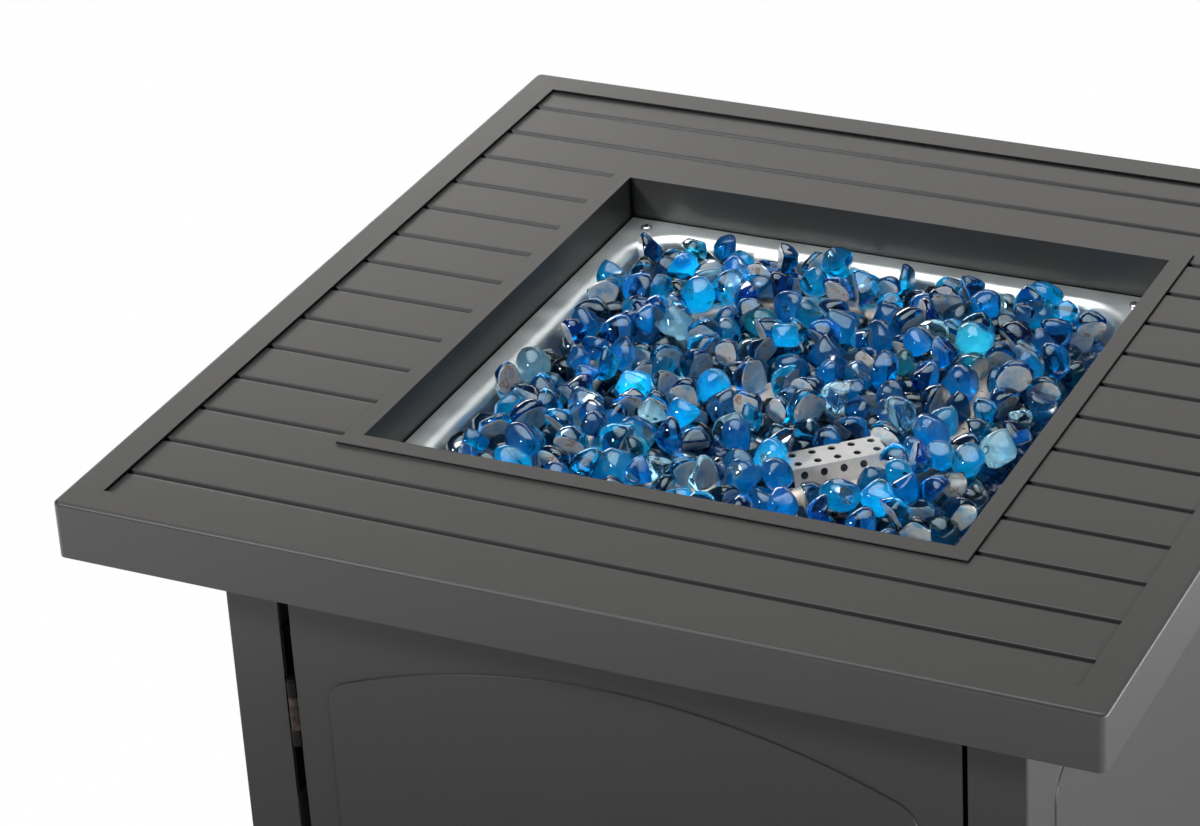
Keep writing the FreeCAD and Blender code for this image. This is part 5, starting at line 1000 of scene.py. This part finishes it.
def floor_material():
    """A pale floor that the camera sees as white, and that gloss sees duller close to the table as painted
    shade round it.
    """
    material = bpy.data.materials.new("studio_floor")
    material.use_nodes = True
    material.node_tree.nodes.clear()
    diffuse = node(material, "ShaderNodeBsdfDiffuse")
    diffuse.inputs["Color"].default_value = (*FLOOR_COLOUR, 1.0)
    place = node(material, "ShaderNodeNewGeometry")
    away = node(material, "ShaderNodeVectorMath", operation="LENGTH")
    link(material, place.outputs["Position"], away.inputs[0])
    # Glow seen in gloss, dimmed close to the table as painted shade
    in_gloss = spread(material, away.outputs["Value"], *FLOOR_IN_GLOSS, *FLOOR_GLOSS_REACH)
    rays = node(material, "ShaderNodeLightPath").outputs
    strength = mixed(material, "FLOAT", rays["Is Camera Ray"], in_gloss, FLOOR_WHITE)
    glow = node(material, "ShaderNodeEmission")
    glow.inputs["Color"].default_value = (*WHITE, 1.0)
    link(material, strength, glow.inputs["Strength"])
    mix = node(material, "ShaderNodeMixShader")
    link(material, combined(material, "MULTIPLY", seen_directly(material), FLOOR_GLOW), mix.inputs["Fac"])
    link(material, diffuse.outputs["BSDF"], mix.inputs[1])
    link(material, glow.outputs["Emission"], mix.inputs[2])
    out = node(material, "ShaderNodeOutputMaterial")
    link(material, mix.outputs["Shader"], out.inputs["Surface"])
    return material


def add_floor():
    mesh = bpy.data.meshes.new("studio_floor")
    outline = bar(FLOOR_HALF, -FLOOR_HALF, FLOOR_HALF)
    mesh.from_pydata([(x, y, 0.0) for x, y in outline], [], [(0, 1, 2, 3)])
    floor = add_object("studio_floor", mesh, [floor_material()])


def add_world():
    """White to the camera; dim low down and bright overhead to gloss and to rays that come out of glass."""
    world = bpy.data.worlds.new("studio")
    bpy.context.scene.world = world
    world.use_nodes = True
    background = world.node_tree.nodes["Background"]
    background.inputs["Color"].default_value = (*WHITE, 1.0)
    place = node(world, "ShaderNodeTexCoord")
    way = node(world, "ShaderNodeSeparateXYZ")
    link(world, place.outputs["Generated"], way.inputs[0])
    in_gloss = spread(world, way.outputs["Z"], *SKY_IN_GLOSS, *SKY_GLOSS_RISE)
    through_glass = spread(world, way.outputs["Z"], *SKY_THROUGH_GLASS, *SKY_GLASS_RISE)
    rays = node(world, "ShaderNodeLightPath").outputs
    strength = mixed(world, "FLOAT", rays["Is Glossy Ray"], WORLD_FILL, in_gloss)
    strength = mixed(world, "FLOAT", rays["Is Transmission Ray"], strength, through_glass)
    strength = mixed(world, "FLOAT", rays["Is Camera Ray"], strength, BACKDROP_WHITE)
    link(world, strength, background.inputs["Strength"])


def soft_light(name, place, target, size, power, colour):
    """A rectangle that shines from a place at a target."""
    light = bpy.data.lights.new(name, "AREA")
    light.shape = "RECTANGLE"
    light.size, light.size_y = size
    light.energy = power
    light.color = colour
    lamp = bpy.data.objects.new(name, light)
    lamp.location = place
    way = Vector(target) - Vector(place)
    lamp.rotation_mode = "QUATERNION"
    lamp.rotation_quaternion = way.to_track_quat("-Z", "Y")
    bpy.context.scene.collection.objects.link(lamp)


def add_camera():
    """The photograph's camera, turned by yaw, then pitch, then roll about its line of sight."""
    cos_yaw, sin_yaw = math.cos(CAMERA_YAW), math.sin(CAMERA_YAW)
    cos_pitch, sin_pitch = math.cos(CAMERA_PITCH), math.sin(CAMERA_PITCH)
    forward = Vector((sin_yaw * cos_pitch, cos_yaw * cos_pitch, -sin_pitch))
    level_right = Vector((cos_yaw, -sin_yaw, 0.0))
    level_down = forward.cross(level_right)
    right = math.cos(CAMERA_ROLL) * level_right + math.sin(CAMERA_ROLL) * level_down
    down = math.cos(CAMERA_ROLL) * level_down - math.sin(CAMERA_ROLL) * level_right
    turn = Matrix((right, -down, -forward)).transposed().to_4x4()
    camera = bpy.data.cameras.new("photo_camera")
    camera.lens = CAMERA_LENS
    camera.sensor_width = CAMERA_SENSOR
    camera.clip_start, camera.clip_end = CAMERA_CLIP
    holder = bpy.data.objects.new("photo_camera", camera)
    holder.matrix_world = Matrix.Translation(CAMERA_PLACE) @ turn
    bpy.context.scene.collection.objects.link(holder)
    bpy.context.scene.camera = holder


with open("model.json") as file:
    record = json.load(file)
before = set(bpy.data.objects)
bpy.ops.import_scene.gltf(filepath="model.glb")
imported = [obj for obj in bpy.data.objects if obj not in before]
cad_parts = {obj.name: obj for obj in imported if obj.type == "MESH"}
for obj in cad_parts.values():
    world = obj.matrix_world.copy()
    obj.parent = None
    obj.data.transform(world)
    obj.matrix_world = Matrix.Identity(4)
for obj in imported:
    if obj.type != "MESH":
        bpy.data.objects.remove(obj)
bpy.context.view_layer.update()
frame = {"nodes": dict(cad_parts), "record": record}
dress_cad_nodes(frame)
add_fire_glass()
add_control_marks()
add_knob_pointer()
add_floor()
add_world()
for light in LIGHTS:
    soft_light(*light)
add_camera()
bpy.context.scene.view_settings.view_transform = "Standard"
